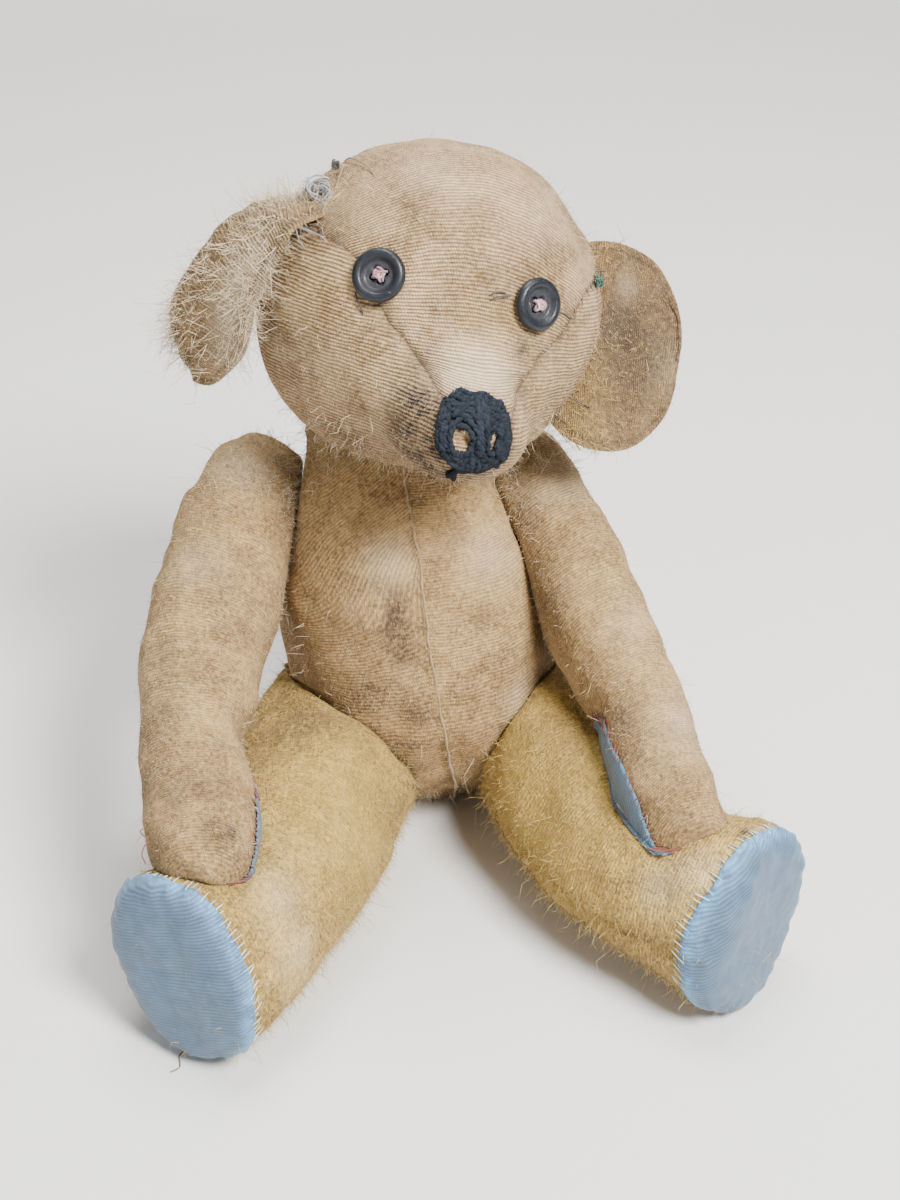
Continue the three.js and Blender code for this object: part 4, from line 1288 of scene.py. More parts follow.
# How far inside the middle panel a point is, in the head's own frame: the panel's half angle less
# the point's own from the top, times its distance from the middle line.
def panelInset(local):
    centre, half = panelShape(local[..., 1])
    angle = np.arctan2(np.abs(local[..., 0]), local[..., 2] - centre)
    return (half - angle) * np.hypot(local[..., 0], local[..., 2] - centre)


def headLocal(aim, grow=0):
    reach = headReach(aim)
    local = aim * reach[..., None]
    inset = panelInset(local)
    under = bell(local[..., 0], 1.5) * smoothStep(-local[..., 2], 6, 14)
    relief = 0.6 * lumps(local, 55, 51) + 0.3 * lumps(local, 20, 52) + 0.1 * lumps(local, 7, 53)
    relief -= 0.8 * bell(inset, 1.1) + 0.35 * bell(inset, 4) + 0.8 * under
    relief += 0.22 * bell(inset, 5) * np.sin(local[..., 1] * 1.5 + 2 * lumps(local, 12, 54))
    relief += folds(local, head["folds"])
    for side in ways:
        off = np.linalg.norm(local - eyeLocal[side], axis=-1)
        relief -= 1.3 * bell(off, 11)
    return aim * (reach + relief + grow)[..., None], inset


def headPoints(aim, grow=0):
    local, inset = headLocal(aim, grow)
    neckFace = neckFrame @ turnAbout(yAxis, -90)
    points = flattened(placed(local, headFrame), neckFace, gap, 200, 1, 1.2)
    return points, local, inset


eyes = {"left": (31, -41, 19), "right": (-20, -42, 32), "sink": 1.0, "radius": 8.5}
headTurn = headFrame[:3, :3]
eyeAim = {side: unit(np.array(eyes[side], float) @ headTurn) for side in ways}
eyeLocal = {side: eyeAim[side] * headReach(eyeAim[side]) for side in ways}


def makeHead():
    coarse = 1
    share = np.linspace(0, 1, head["rings"] // coarse)[:, None]
    turned = (np.arange(head["sectors"] // coarse) * 2 * math.pi / (head["sectors"] // coarse))[None]
    grid, local, inset = headPoints(headAim(share, turned))
    profile = headAim(np.linspace(0, 1, 400), math.pi / 2)
    edge = profile * headReach(profile)[:, None]
    length = np.concatenate([[0], np.cumsum(np.linalg.norm(np.diff(edge, axis=0), axis=1))])
    angle = np.arctan2(local[..., 2], -local[..., 1])
    rise = np.interp(angle, np.arctan2(edge[:, 2], -edge[:, 1]), length)
    middleThreads = threadsOf(local[..., 0], rise + head["ribBow"] * local[..., 0] ** 2)
    cheek = local[..., 2] + head["cheekTilt"] * local[..., 1]
    cheekThreads = threadsOf(local[..., 1] + 0.3 * np.abs(local[..., 0]), cheek)
    marks = marksOf(local, head["soil"], head["ink"], head["pale"], head["golden"])
    seam = np.where(local[..., 2] < -14, -np.abs(inset) - 3, inset)
    stuffedPiece(
        "head_cloth", "head", grid, headCloth, seam, cheekThreads, middleThreads, marks
    )
    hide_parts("head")
    return grid


headGrid = makeHead()
print("head made")


# A point on the head's cloth by its direction, in the head's frame, raised by lift.
def onHead(directions, lift):
    points, _, _ = headPoints(unit(np.asarray(directions, float)), lift)
    return points


# eyes

# The frame of an eye: its middle on the cloth, with +Z out of it.
def eyeFrame(side):
    aim = eyeAim[side]
    across = unit(np.array([aim[1], -aim[0], 0]))
    upward = np.cross(across, aim)
    near = [unit(aim + v * s) for v in (across, upward) for s in (0.12, -0.12)]
    a, b, c, d = (placed(v * headReach(v), headFrame) for v in near)
    out = unit(np.cross(a - b, c - d))
    middle = placed(aim * headReach(aim), headFrame)
    if out @ (middle - headMiddle) < 0:
        out = -out
    matrix = np.eye(4)
    matrix[:3, 0] = unit(a - b)
    matrix[:3, 2] = out
    matrix[:3, 1] = np.cross(out, matrix[:3, 0])
    matrix[:3, 3] = middle
    return matrix


button = {
    # radius and height of the turned profile, from the middle of the face round to the back
    "profile": [
        (0, 2.3), (3.6, 2.25), (4.5, 2.45), (5.2, 3.1), (5.8, 3.75), (6.6, 4.0), (7.5, 3.85), (8.2, 3.2),
        (8.5, 2.3), (8.2, 1.3), (7.2, 0.6), (4, 0.4), (0, 0.4),
    ],
    "hole": 1.05, "pitch": 1.95, "depth": 1.5, "holeAngles": (45, 135, 225, 315),
}


# A turned button: the profile smoothed and carried round, with four steep-sided pits for its holes.
def makeButton(side):
    rows = np.array(button["profile"], float)
    profile, _ = throughRows(rows, np.linspace(0, 1, 80))
    profile[:, 0] = np.maximum(profile[:, 0], 0)
    profile[[0, -1], 0] = 0
    turned = np.arange(96) * 2 * math.pi / 96
    x, y = profile[:, :1] * np.cos(turned), profile[:, :1] * np.sin(turned)
    z = profile[:, 1:] + 0 * x
    face = (np.arange(len(profile)) < len(profile) * 0.45)[:, None]
    for angle in np.radians(button["holeAngles"]):
        away = np.hypot(x - button["pitch"] * math.cos(angle), y - button["pitch"] * math.sin(angle))
        z = z - face * button["depth"] * (1 - smoothStep(away, button["hole"] * 0.75, button["hole"] * 1.15))
    grid = placed(np.stack([x, y, z], -1), eyeFrame(side) @ shift(0, 0, -eyes["sink"]))
    dust = np.stack([face * (1 - smoothStep(np.hypot(x, y), 4, 6.5))] + [0 * x] * 3, -1)
    dusty = {"marks": closedList(dust)}
    made = makeObject(f"{side}_button", closedList(grid), closedFaces(*grid.shape[:2]), buttonHorn, dusty)
    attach(made, "head")
    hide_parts(f"{side}_eye_button")


# Pink thread crossing the middle of a button from hole to hole, worn loose and knotted.
def makeEyeThread(side):
    pick = np.random.default_rng(90 + ways[side])
    corners = np.radians(button["holeAngles"])
    holes = button["pitch"] * np.stack([np.cos(corners), np.sin(corners)], -1)
    pairs = [(0, 2), (1, 3), (0, 2), (1, 3), (0, 1), (2, 3), (0, 2), (3, 1), (1, 2), (3, 0)]
    starts = holes[[a for a, _ in pairs]] + pick.normal(size=(10, 2)) * 0.3
    ends = holes[[b for _, b in pairs]] + pick.normal(size=(10, 2)) * 0.3
    steps = np.linspace(0, 1, 13)[None, :, None]
    flat = starts[:, None] * (1 - steps) + ends[:, None] * steps
    flat = flat + pick.normal(size=(10, 1, 2)) * 0.45 * np.sin(steps * math.pi)
    rise = 1.6 + 1.5 * np.sin(steps[..., 0] * math.pi) ** 0.5 + np.arange(10)[:, None] * 0.09
    paths = np.concatenate([flat, rise[..., None]], -1)
    curl = np.linspace(0, 1, 13)
    loops = []
    for size, phase in ((0.9, 0), (1.2, 1.2), (0.8, 2.6)):
        x = size * np.cos(curl * 5 + phase) + 0.4 * phase - 0.6
        y = size * np.sin(curl * 5 + phase) - 0.3
        loops.append([x, y, 3.1 + 0.5 * np.sin(curl * 4 + phase)])
    paths = np.concatenate([paths, np.moveaxis(np.array(loops), 1, 2)])
    paths = placed(paths, eyeFrame(side) @ shift(0, 0, -eyes["sink"]))
    made = strandPiece(f"{side}_eye_stitches", paths, 0.36, 6, pinkThread)
    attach(made, "head")
    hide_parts(f"{side}_eye_thread")


for side in ways:
    makeButton(side)
    makeEyeThread(side)
print("eyes made")

# nose

nose = {
    "middle": (-1.5, -76.5, -5.5), "halfWidth": 12.2, "halfHeight": 10.2, "radius": 1.15, "steps": 44,
    "nostrils": {"right": ((-4.8, -1.8), 3.9, 4.3), "left": ((5.4, -0.6), 2.2, 3.8)},
}


# A point over the nose: across and up from its middle, carried onto the head's cloth.
def onNose(across, up, lift):
    flat = np.stack([nose["middle"][0] + across, nose["middle"][1] + 0 * across, nose["middle"][2] + up], -1)
    return onHead(flat, lift)


# Yarn round a hole or along a line: several strands side by side, wavering, each a two-ply twist.
def makeNose():
    pick = np.random.default_rng(5)
    count = nose["steps"]
    turned = np.linspace(0, 2 * math.pi, count)
    outlines = []

    def ringOf(middle, wide, high, strands, step, lift):
        for k in range(strands):
            slack = pick.normal(size=4) * 0.35
            w, h = wide + step * k + slack[0], high + step * k + slack[1]
            start = pick.uniform(0, 6)
            x = middle[0] + w * np.cos(turned + start) + slack[2] * np.sin(3 * turned)
            y = middle[1] + h * np.sin(turned + start) + slack[3] * np.cos(2 * turned)
            outlines.append(onNose(x, y, lift + 0.5 * np.sin(turned * 5 + start) + pick.uniform(0, 0.7)))

    for middle, wide, high in nose["nostrils"].values():
        ringOf(middle, wide, high, 3, 1.3, 0.9)
    for k in range(22):
        up = nose["halfHeight"] * (1 - 0.082 * k) + pick.normal() * 0.3
        wide = nose["halfWidth"] * (0.72 + 0.28 * min(1, k / 5)) * (1 - 0.01 * k)
        x = np.linspace(-wide, wide, count)
        y = up - 0.018 * x**2 + 0.4 * np.sin(x * 0.8 + k)
        inHole = [
            bell(np.hypot((x - m[0]) / w, (y - m[1]) / h), 0.9) for m, w, h in nose["nostrils"].values()
        ]
        if max(h.max() for h in inHole) < 0.42:
            outlines.append(onNose(x, y, 0.7 + 0.4 * np.sin(x * 1.1 + k)))
    for k in range(7):
        y = np.linspace(-8.5 - pick.uniform(0, 2.5), 9.2, count)
        x = 0.9 + (k - 3) * 0.5 + 0.5 * np.sin(y * 0.5 + k)
        outlines.append(onNose(x, y, 1.1 + 0.5 * np.sin(y * 0.9 + k * 2)))
    for side in (-1, 1):
        for k in range(6):
            y = np.linspace(-7 + 0.6 * k, 6.5 - 0.5 * k, count)
            wide = nose["halfWidth"] - 0.3 - 0.75 * k
            x = side * wide * np.sqrt(np.clip(1 - (y / 12.5) ** 2, 0, 1))
            if side > 0 or k < 4:
                outlines.append(onNose(x - 0.5, y, 0.8 + 0.4 * np.sin(y + k)))
    for k in range(6):
        x = np.linspace(-9 + 1.2 * k, 8 - 0.9 * k, count)
        y = -8.2 - 0.55 * k + 0.014 * x**2 + 0.3 * np.sin(x + k)
        outlines.append(onNose(x, y, 0.8 + 0.4 * np.sin(x * 1.3 + k)))
    y = np.linspace(-17, -8, count)
    outlines.append(onNose(-3.2 + 0.6 * np.sin(y * 0.6), y, 0.8 + 0 * y))
    outlines.append(onNose(-4.4 + 0.9 * np.sin(y * 0.5 + 1), y * 0.92, 0.7 + 0 * y))
    paths = np.array(outlines)
    steps = np.arange(count)
    taper = np.where((steps < 1) | (steps > count - 2), 0.5, 1)
    radius = nose["radius"] * (1 + 0.12 * np.sin(steps * 2.2)) * taper
    return paths, radius


def noseYarn():
    paths, radius = makeNose()
    heading = unit(np.gradient(paths, axis=1))
    out = unit(paths - headMiddle)
    side = np.cross(heading, out)
    twist = np.arange(nose["steps"]) * 1.15
    plies = []
    for phase in (0, math.pi):
        turnIn = (twist + phase)[None, :, None]
        plies.append(paths + 0.4 * nose["radius"] * (side * np.cos(turnIn) + out * np.sin(turnIn)))
    shades = chance.uniform(0, 1, 2 * len(paths))
    made = strandPiece("nose_yarn", np.concatenate(plies), 0.68 * radius[None], 5, blackYarn, shades)
    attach(made, "head")
    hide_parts("nose_stitching")


noseYarn()
print("nose made")

# ears

earSeam = 3.2  # from an ear's rim in to its seam
ears = {
    "left": {
        "rows": np.array([
            [36, -9, -10, 2, 31], [53, -9, -12.5, 2.2, 35], [68, -9, -16, 2.2, 33.5], [84, -9, -20, 1.8, 26],
        ], float),
        "across": (0.36, 0.57, 0.74), "ends": (4, 3), "cup": 5.5, "seed": 71,
        "soil": [
            ((66, -6, 180), (9, 14, 9), 0.95), ((72, -12, 166), (9, 14, 10), 0.95),
            ((60, -12, 188), (7, 12, 8), 0.5),
            ((82, -10, 186), (8, 12, 9), 0.3), ((46, -26, 158), (7, 12, 10), 0.7),
            ((78, -10, 154), (9, 12, 7), 0.6),
            ((62, -16, 160), (8, 14, 12), 0.6), ((56, -16, 176), (8, 12, 8), 0.5),
            ((84, -8, 172), (7, 12, 10), 0.5),
        ],
        "pale": [((68, -6, 193), (4, 8, 5), 0.3), ((84, -10, 165), (8, 12, 10), 0.2)],
        "golden": [((46, -28, 152), (9, 12, 10), 0.75), ((50, -20, 168), (8, 10, 12), 0.35)],
    },
    "right": {
        "rows": np.array([
            [-33, -6, 42, 2, 14], [-52, -9, 39, 2.2, 17], [-67, -11, 25, 2.2, 20],
            [-76, -13, 5, 2.2, 21.5], [-78, -15, -15, 1.8, 18],
        ], float),
        "across": (0.6, -0.75, 0.25), "ends": (4, 3), "cup": -5, "seed": 72,
        "soil": [
            ((-74, -18, 182), (9, 12, 10), 0.45), ((-60, -24, 216), (8, 10, 8), 0.4),
            ((-76, -8, 204), (7, 12, 12), 0.35),
            ((-48, -22, 222), (8, 8, 8), 0.6),
        ],
        "pale": [
            ((-58, -26, 205), (8, 8, 18), 0.9), ((-48, -8, 228), (8, 10, 6), 0.4),
            ((-66, -26, 190), (6, 6, 14), 0.5)
        ],
        "golden": [((-72, -16, 176), (8, 10, 6), 0.3)],
    },
}


# An ear: a thin stuffed flap, cupped by the square of the distance from its middle line, waved a
# little, and drawn in along a seam just inside its rim.
def earPoints(side, height, turn):
    ear = ears[side]
    flatness = capAt(ear, height)
    across = np.sin(turn) * flatness
    rim = np.clip(np.hypot(across, np.maximum(0, -height) ** 2), 0, 1)
    wide = throughRows(ear["rows"][:, 4:5], (1 - height) / 2)[0][..., 0]
    inset = (1 - np.maximum(np.abs(across) / np.maximum(flatness, 1e-3), np.clip(-height, 0, 1) ** 4)) * wide
    middle, _, normal, _, _ = spineAt(ear, (1 - height) / 2)
    plane = formPoints(ear, height, np.where(np.sin(turn) > 0, math.pi / 2, -math.pi / 2))
    wave = 1.5 * lumps(plane, 42, ear["seed"]) + 0.6 * lumps(plane, 17, ear["seed"] + 1)
    grow = 0.35 * lumps(formPoints(ear, height, turn), 9, ear["seed"] + 2) - 0.8 * bell(inset - earSeam, 1.1)
    points = formPoints(ear, height, turn, grow * smoothStep(inset, 0.0, 2.0))
    lift = ear["cup"] * across**2 + wave * smoothStep((1 - height) / 2, 0.0, 0.35)
    return points + normal * lift[..., None] + headMiddle, inset - earSeam


def makeEar(side):
    ear = ears[side]
    height, turn = ringGrid(ear, 90, 110)
    turn = turn - 0.42 * np.sin(2 * turn)
    grid, inset = earPoints(side, height, turn)
    wide = ear["rows"][:, 4].mean()
    threads = threadsOf(np.sin(turn) * wide, (1 - height) / 2 * 80)
    marks = marksOf(grid, ear["soil"], pale=ear["pale"], golden=ear["golden"])
    stuffedPiece(f"{side}_ear_cloth", "head", grid, earCloth, inset, threads, threads, marks)
    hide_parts(f"{side}_ear")
    return grid


earGrids = {side: makeEar(side) for side in ways}
print("ears made")

# loose threads, mends and stitches

# A thread through a few places: the smooth curve through them, with steps enough to look round.
def threadThrough(places, steps=28):
    return throughRows(np.array(places, float), np.linspace(0, 1, steps))[0]


def threads(name, body, routes, radius, material, slot="thread"):
    paths = np.array([threadThrough(route) for route in routes])
    taper = np.ones(paths.shape[1])
    taper[[0, -1]] = 0.5
    made = strandPiece(name, paths, radius * taper[None], 6, material)
    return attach(made, body)


# Places over the head by direction and lift above the cloth.
def overHead(places):
    places = np.array(places, float)
    base = onHead(places[:, :3], 0)
    return base + unit(base - headMiddle) * places[:, 3:]


def panelSeam(way, positions, lift):
    y = np.array(positions, float)
    centre, half = panelShape(y)
    # the distance out to the cloth is found by stepping along the ray that has this y
    out = np.full(len(y), 30.0)
    for _ in range(30):
        point = np.stack([way * out * np.sin(half), y, centre + out * np.cos(half)], -1)
        out = out * (headReach(unit(point)) / np.linalg.norm(point, axis=-1)) ** 0.7
    return np.concatenate([point, np.full((len(y), 1), lift)], -1)


def makeHeadThreads():
    seamRoutes = []
    for way, reach in ((-1, np.linspace(-70, -9, 60)), (1, np.linspace(-40, -12, 60))):
        places = panelSeam(way, reach, -0.35)
        seamRoutes.append(overHead(places))
    radius = 0.21 + 0.06 * np.sin(np.arange(60) * 1.3)
    made = strandPiece("head_panel_seams", np.array(seamRoutes), radius[None], 6, brownThread)
    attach(made, "head")
    crossings = []
    for way, spots in ((-1, (-64, -47, -30, -22, -16)), (1, (-34, -30, -26, -22, -18))):
        for y in spots:
            middle = panelSeam(way, [y, y - 1.2], 0)[:, :3]
            spread = unit(np.array([way * 0.8, 0.2, -0.9]))
            ends = [
                np.append(middle[0] - spread * 1.6, 0.0), np.append(middle[0], 0.45),
                np.append(middle[1] + spread * 1.6, 0.0)
            ]
            crossings.append(overHead(ends))
    threads("head_mends", "head", crossings, 0.17, brownThread)
    loose = [
        overHead([
            (-36, 17, 38.5, 0.2), (-36, 8, 42, 1.8), (-35, 1, 44.5, 1.4), (-34, -4, 45.5, 1.0),
            (-33, -8, 45, -0.2),
        ]),
        overHead([(-38, 12, 40, 0.0), (-40, 4, 41, 1.2), (-43, -2, 39, 0.8), (-45, -6, 36, 0.1)]),
    ]
    threads("head_loose_threads", "head", loose, 0.24, seamThread)
    dark = [
        overHead([(9, -43, 28, 0.2), (6.5, -44, 27.6, 1.3), (3.5, -44.5, 27, 1.6), (1.5, -45, 26, 1.0)]),
        overHead([(7, -43.5, 28.6, 0.1), (4.5, -44, 28.8, 1.1), (2.5, -44, 28, 0.9), (1, -45, 27.4, 0.2)]),
        overHead([(28, -40, 24, 0.1), (31, -38, 22.2, 1.0), (33, -37, 21.4, 0.8), (35, -35.5, 20.4, 0.1)]),
        overHead(
            [(-36, -33, 16, 0.1), (-34.5, -35, 14, 1.2), (-33.5, -36.5, 12.4, 0.9), (-33, -37, 11, 0.1)]
        ),
    ]
    threads("head_dark_threads", "head", dark, 0.28, darkThread)


makeHeadThreads()


# A tangle: strands that wander at random about a place, in a flattened ball.
def tangle(name, middle, size, strands, radius, material, seed):
    pick = np.random.default_rng(seed)
    steps = np.linspace(0, 1, 26)
    paths = []
    for _ in range(strands):
        rate = pick.uniform(2, 6, 3)
        phase = pick.uniform(0, 6, 3)
        paths.append(
            np.array(middle) + np.array(size) * np.sin(steps[:, None] * rate + phase) * pick.uniform(0.4, 1)
        )
    made = strandPiece(name, np.array(paths), radius, 5, material)
    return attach(made, "head")


# Stray thread ends: each starts on a limb's cloth and goes on through steps away from it.
def makeStrayThreads():
    edge = padEdge("right", np.array([math.radians(150)]))
    start = legPoints("right", edge[None], np.radians([[150]]), 1.0)[0][0, 0]
    away = np.array([(0, 0, 0), (-2, -3, -3), (-5, -6, -5), (-5, -11, -6), (-8, -13, -6)], float)
    away = start + away
    away[:, 2] = np.maximum(away[:, 2], 0.4)
    threads("right_foot_stray_thread", "right_leg", [away], 0.22, brownThread)
    start = armPoints("right", np.array([[-0.82]]), np.radians([[75]]), 0.5)[0][0, 0]
    away = np.array([
        [(0, 0, 0), (-2, 0, -1), (-3, -2, -3), (-2, -3, -6)],
        [(0, 1, 1), (-2, 2, 1), (-3, 1, 4), (-2, 1, 5)],
    ])
    threads("right_paw_stray_threads", "right_arm", list(start + away), 0.22, redThread)


makeStrayThreads()

earBase = onHead([(-46.6, -0.5, 33)], 0.5)[0]
tangle("ear_mend_thread", earBase, (4.5, 6.5, 5), 26, 0.3, greyThread, 3)
tangle("ear_mend_knot", earBase + np.array([6, 6, 7]), (1.2, 1.2, 1.3), 12, 0.32, darkThread, 4)
leftBase = onHead([(47, -18, 26)], 0.5)[0]
tangle("left_ear_green_knot", leftBase + np.array([1.5, 0, 1]), (1.5, 1.6, 2.4), 10, 0.3, greenThread, 5)
print("threads made")


# Stitches that hold an ear: each loops from the ear's base to the head's cloth beside it.
def makeEarStitches(side, material, count, name, spread):
    pick = np.random.default_rng(60 + ways[side])
    grid = earGrids[side]
    rows = np.abs(np.linalg.norm(grid.mean(1) - headMiddle, axis=-1) - spread).argmin()
    ring = grid[rows]
    columns = pick.integers(0, len(ring), count)
    start = ring[columns] + pick.normal(size=(count, 3)) * 0.8
    aim = unit((start - headMiddle) @ headTurn + pick.normal(size=(count, 3)) * 2.5)
    end = onHead(aim, 0.0)
    steps = np.linspace(0, 1, 9)[None, :, None]
    bulge = unit(start - headMiddle)[:, None] * np.sin(steps * math.pi) * 0.9
    paths = start[:, None] * (1 - steps) + end[:, None] * steps + bulge
    made = strandPiece(name, paths, 0.2, 5, material)
    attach(made, "head")


makeEarStitches("left", brownThread, 22, "left_ear_stitches", 56)
makeEarStitches("right", greyThread, 34, "right_ear_stitches", 61)

# pile

pileLook = {
    "short": 12000, "long": 900, "shortLength": 1.1, "longLength": 4.5, "wild": 0.55, "lean": 0.5,
    "curl": 0.22, "radius": 0.085, "lay": (0, -0.2, -0.8), "slot": "plush",
}
legPile = {
    **pileLook, "short": 14500, "long": 3000, "shortLength": 2.1, "longLength": 4.6, "lay": (0, -0.5, -0.6),
    "lean": 0.8, "slot": "leg_plush", "radius": 0.1,
}
# where longer pile is left, each place with its middle, three half sizes and strength
pilePatches = {
    "head": [
        ((-38, -4, 232), (12, 14, 10), 1.0), ((-36, -42, 158), (22, 22, 12), 0.8),
        ((20, -40, 155), (26, 30, 8), 0.5), ((-46, -22, 205), (7, 10, 14), 0.5),
        ((46, -4, 222), (8, 14, 12), 0.4), ((0, 46, 190), (40, 20, 40), 0.5),
    ],
    "torso": [
        ((-38, -14, 140), (10, 16, 12), 1.0), ((22, -20, 138), (10, 14, 10), 0.9),
        ((4, -48, 12), (26, 12, 9), 0.7), ((-44, -20, 70), (10, 24, 20), 0.3),
        ((-8, 48, 90), (40, 16, 60), 0.4),
    ],
    "leftEar": [
        ((46, -30, 150), (10, 14, 8), 1.0), ((50, -20, 170), (6, 12, 12), 0.5),
        ((60, -8, 205), (10, 10, 5), 0.5),
    ],
    "rightEar": [((-58, -28, 205), (9, 9, 20), 0.8), ((-46, -4, 230), (10, 12, 6), 0.8)],
}


def near(points, spots):
    return 0.02 + blots(points, spots)


def makePile():
    world = headGrid
    back = smoothStep(world[..., 1], 0, 30)
    pile(
        "head_pile", "head", world, 0.5 + back,
        near(world, pilePatches["head"]),
        {**pileLook, "short": 13000, "long": 1700, "longLength": 4.0}, paleHair, 101,
    )
    world = torsoGrid
    pile(
        "torso_pile", "torso", world, 0.6 + smoothStep(world[..., 1], 0, 30),
        near(world, pilePatches["torso"]),
        {**pileLook, "short": 9500, "long": 1100, "shortLength": 0.9}, paleHair, 102,
    )
    for side, way in ways.items():
        world = armGrids[side]
        top = shoulderFrames[side][:3, 3] + np.array([way * 10, -4, 22])
        pile(
            f"{side}_arm_pile", f"{side}_arm", world, 0.6 + 0 * world[..., 0],
            near(world, [(top, (16, 16, 12), 1.0), (top - np.array([way * 10, 6, 8]), (8, 14, 14), 0.8)]),
            {**pileLook, "short": 7000, "long": 900, "longLength": 4.2}, paleHair, 103 + way,
        )
        world = legGrids[side]
        under = smoothStep(60 - world[..., 2], 5, 45)
        soleMiddle = placed(np.array([22.0, -150 * way, 6]), hipFrames[side])
        sole = smoothStep(np.linalg.norm(world - soleMiddle, axis=-1), 24, 40)
        pile(
            f"{side}_leg_pile", f"{side}_leg", world, (0.7 + 0.6 * under) * (0.05 + sole),
            (0.12 + 0.9 * under) * (0.02 + sole), legPile, goldenHair, 106 + way,
        )
    world = earGrids["left"]
    pile(
        "left_ear_pile", "head", world, 0.5 + 0 * world[..., 0],
        near(world, pilePatches["leftEar"]),
        {**pileLook, "short": 2600, "long": 1200, "longLength": 4.0, "radius": 0.1}, goldenHair, 111,
    )
    world = earGrids["right"]
    outer = 0.7 * smoothStep(-world[..., 0], 78, 88)
    pile(
        "right_ear_pile", "head", world, 0.5 + 0 * world[..., 0],
        0.05 + outer + near(world, pilePatches["rightEar"]),
        {**pileLook, "short": 3500, "long": 2400, "longLength": 6.5, "radius": 0.1}, paleHair, 112,
    )


makePile()
print("pile made")


# board and steel of the joints, which keep their own shapes

def boardMaterial():
    material, tree, shader = newMaterial("cardboard")
    at = addNode(tree, "TexCoord").outputs["Object"]
    cloud = useGroup(tree, blotchGroup, {"Vector": at, "Size": 8.0, "Edge": 0.2})
    fibre = useGroup(tree, fibreGroup, {"Vector": at, "Fineness": 600.0})
    base = mixed(tree, cloud["Patches"], colour(0.3, 0.2, 0.11), colour(0.22, 0.14, 0.075))
    base = mixed(tree, sums(tree, "MULTIPLY", fibre["Flecks"], 0.4), base, colour(0.42, 0.3, 0.18))
    bump = addNode(tree, "Bump", {"Height": fibre["Height"], "Distance": 0.1 * metre})
    rough = sums(tree, "MULTIPLY_ADD", cloud["Speckle"], 0.1, 0.85)
    plug(tree, shader, {"Base Color": base, "Roughness": rough, "Normal": bump.outputs[0]})
    return material


def steelMaterial():
    material, tree, shader = newMaterial("tarnished steel")
    at = addNode(tree, "TexCoord").outputs["Object"]
    cloud = useGroup(tree, blotchGroup, {"Vector": at, "Size": 4.0, "Edge": 0.2})
    base = mixed(tree, cloud["Patches"], colour(0.5, 0.49, 0.47), colour(0.22, 0.13, 0.08))
    bump = addNode(tree, "Bump", {"Height": cloud["Speckle"], "Distance": 0.05 * metre})
    rough = sums(tree, "MULTIPLY_ADD", cloud["Patches"], 0.35, 0.4)
    metal = sums(tree, "MULTIPLY_ADD", cloud["Patches"], -0.6, 1.0)
    plug(tree, shader, {
        "Base Color": base, "Roughness": rough, "Metallic": metal, "Normal": bump.outputs[0],
    })
    return material


board, steel = boardMaterial(), steelMaterial()
for name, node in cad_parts.items():
    if name.endswith("disc") or name.endswith("washer") or name.endswith("split_pin"):
        node.data.materials.clear()
        node.data.materials.append(board if name.endswith("disc") else steel)

# stage

stage = {
    "floor": 1.6, "back": 0.9, "height": 1.3, "curve": 0.35, "columns": 9,  # in metres
    "pale": colour(0.72, 0.71, 0.7), "grey": colour(0.6, 0.6, 0.6),
}


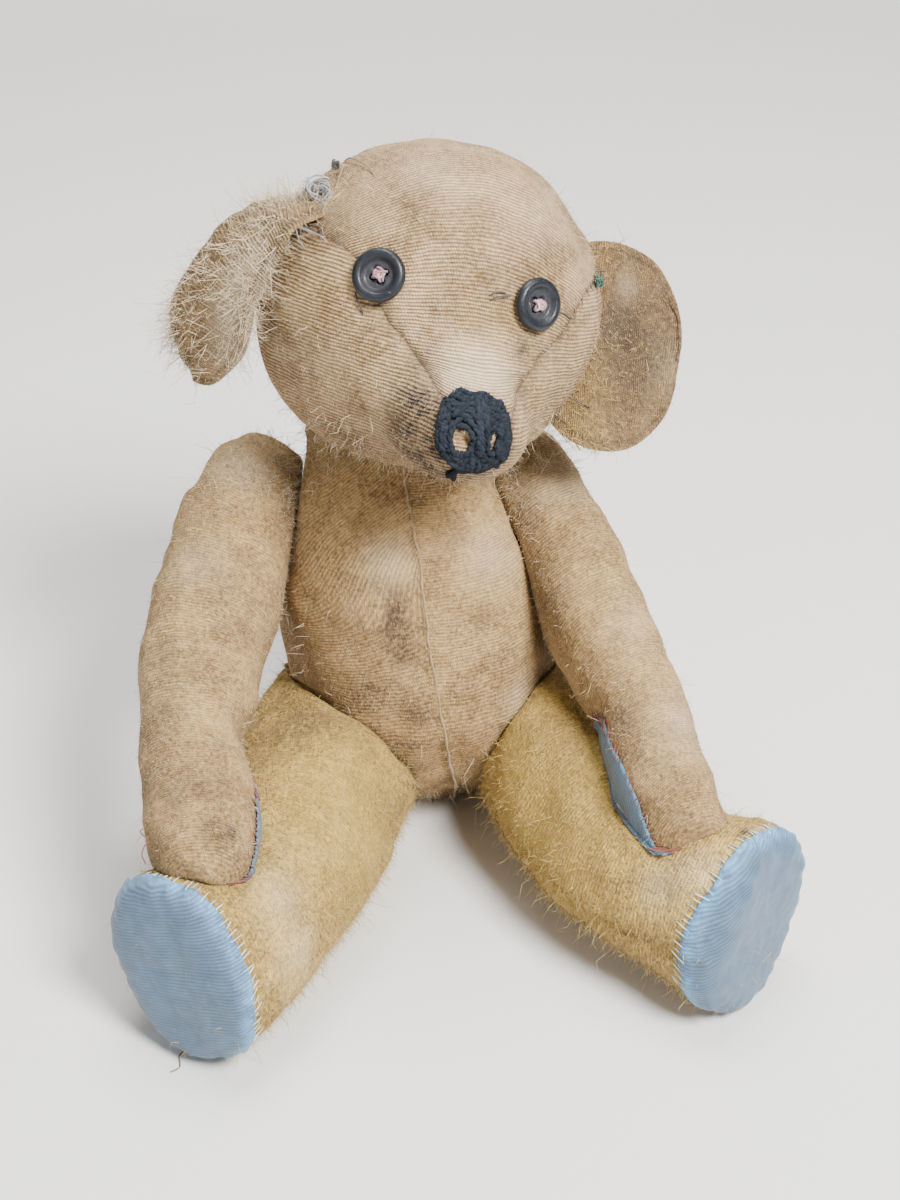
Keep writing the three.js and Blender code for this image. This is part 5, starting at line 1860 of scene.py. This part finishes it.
# A pale sweep: flat floor, a quarter circle, then an upright back.
def makeStage():
    material, tree, shader = newMaterial("pale floor")
    at = addNode(tree, "TexCoord").outputs["Object"]
    cloud = useGroup(tree, blotchGroup, {"Vector": at, "Size": 400.0, "Edge": 0.3})
    shader.inputs["Roughness"].default_value = 0.8
    cloudy = sums(tree, "MULTIPLY", cloud["Patches"], 0.05)
    tree.links.new(mixed(tree, cloudy, stage["pale"], stage["grey"]), shader.inputs["Base Color"])
    bend = np.linspace(0, math.pi / 2, 17)
    curved = stage["back"] + stage["curve"] * np.sin(bend)
    y = np.concatenate([[-stage["floor"]], curved, [stage["back"] + stage["curve"]]])
    z = np.concatenate([[0], stage["curve"] * (1 - np.cos(bend)), [stage["height"]]])
    x = np.linspace(-stage["floor"], stage["floor"], stage["columns"])
    grid = np.stack(np.broadcast_arrays(x[None], y[:, None], z[:, None]), -1)
    index = np.arange(y.size * x.size).reshape(y.size, x.size)
    faces = np.stack([index[:-1, :-1], index[:-1, 1:], index[1:, 1:], index[1:, :-1]], -1).reshape(-1, 4)
    mesh = bpy.data.meshes.new("floor")
    mesh.from_pydata(grid.reshape(-1, 3).tolist(), [], faces.tolist())
    mesh.shade_smooth()
    mesh.materials.append(material)
    floor = bpy.data.objects.new("floor", mesh)
    bpy.context.scene.collection.objects.link(floor)


makeStage()


def areaLight(name, at, target, size, power, tint):
    light = bpy.data.lights.new(name, "AREA")
    light.shape, light.size, light.energy, light.color = "DISK", size, power, tint
    made = bpy.data.objects.new(name, light)
    made.location = at
    aim = np.array(target) - np.array(at)
    made.rotation_euler = Vector(aim).to_track_quat("-Z", "Y").to_euler()
    bpy.context.scene.collection.objects.link(made)


middle = (0, -0.04, 0.11)
areaLight("key light", (0.55, -0.85, 1.2), middle, 0.55, 64, (1, 0.98, 0.95))
areaLight("fill light", (-1.1, -0.9, 0.7), middle, 1.2, 5, (0.98, 0.98, 1))
areaLight("top light", (0.0, 0.25, 1.4), middle, 0.8, 22, (1, 1, 1))

world = bpy.data.worlds.new("soft room")
bpy.context.scene.world = world
world.use_nodes = True
world.node_tree.nodes["Background"].inputs["Color"].default_value = colour(1.0, 0.98, 0.95)
world.node_tree.nodes["Background"].inputs["Strength"].default_value = 0.28

camera = {
    "azimuth": -6, "elevation": 33, "distance": 0.7, "target": (0, -0.04, 0.095), "lens": 61.05,
    "shift": 1 / 120,
}


def makeCamera():
    azimuth, elevation = math.radians(camera["azimuth"]), math.radians(camera["elevation"])
    back = Vector((
        math.sin(azimuth) * math.cos(elevation), -math.cos(azimuth) * math.cos(elevation), math.sin(elevation)
    ))
    data = bpy.data.cameras.new("camera")
    data.lens, data.sensor_width, data.shift_x = camera["lens"], 36, camera["shift"]
    data.clip_start = 0.05
    made = bpy.data.objects.new("camera", data)
    made.location = Vector(camera["target"]) + back * camera["distance"]
    made.rotation_euler = (-back).to_track_quat("-Z", "Y").to_euler()
    bpy.context.scene.collection.objects.link(made)
    bpy.context.scene.camera = made


makeCamera()
print("stage made")

bpy.context.view_layer.update()
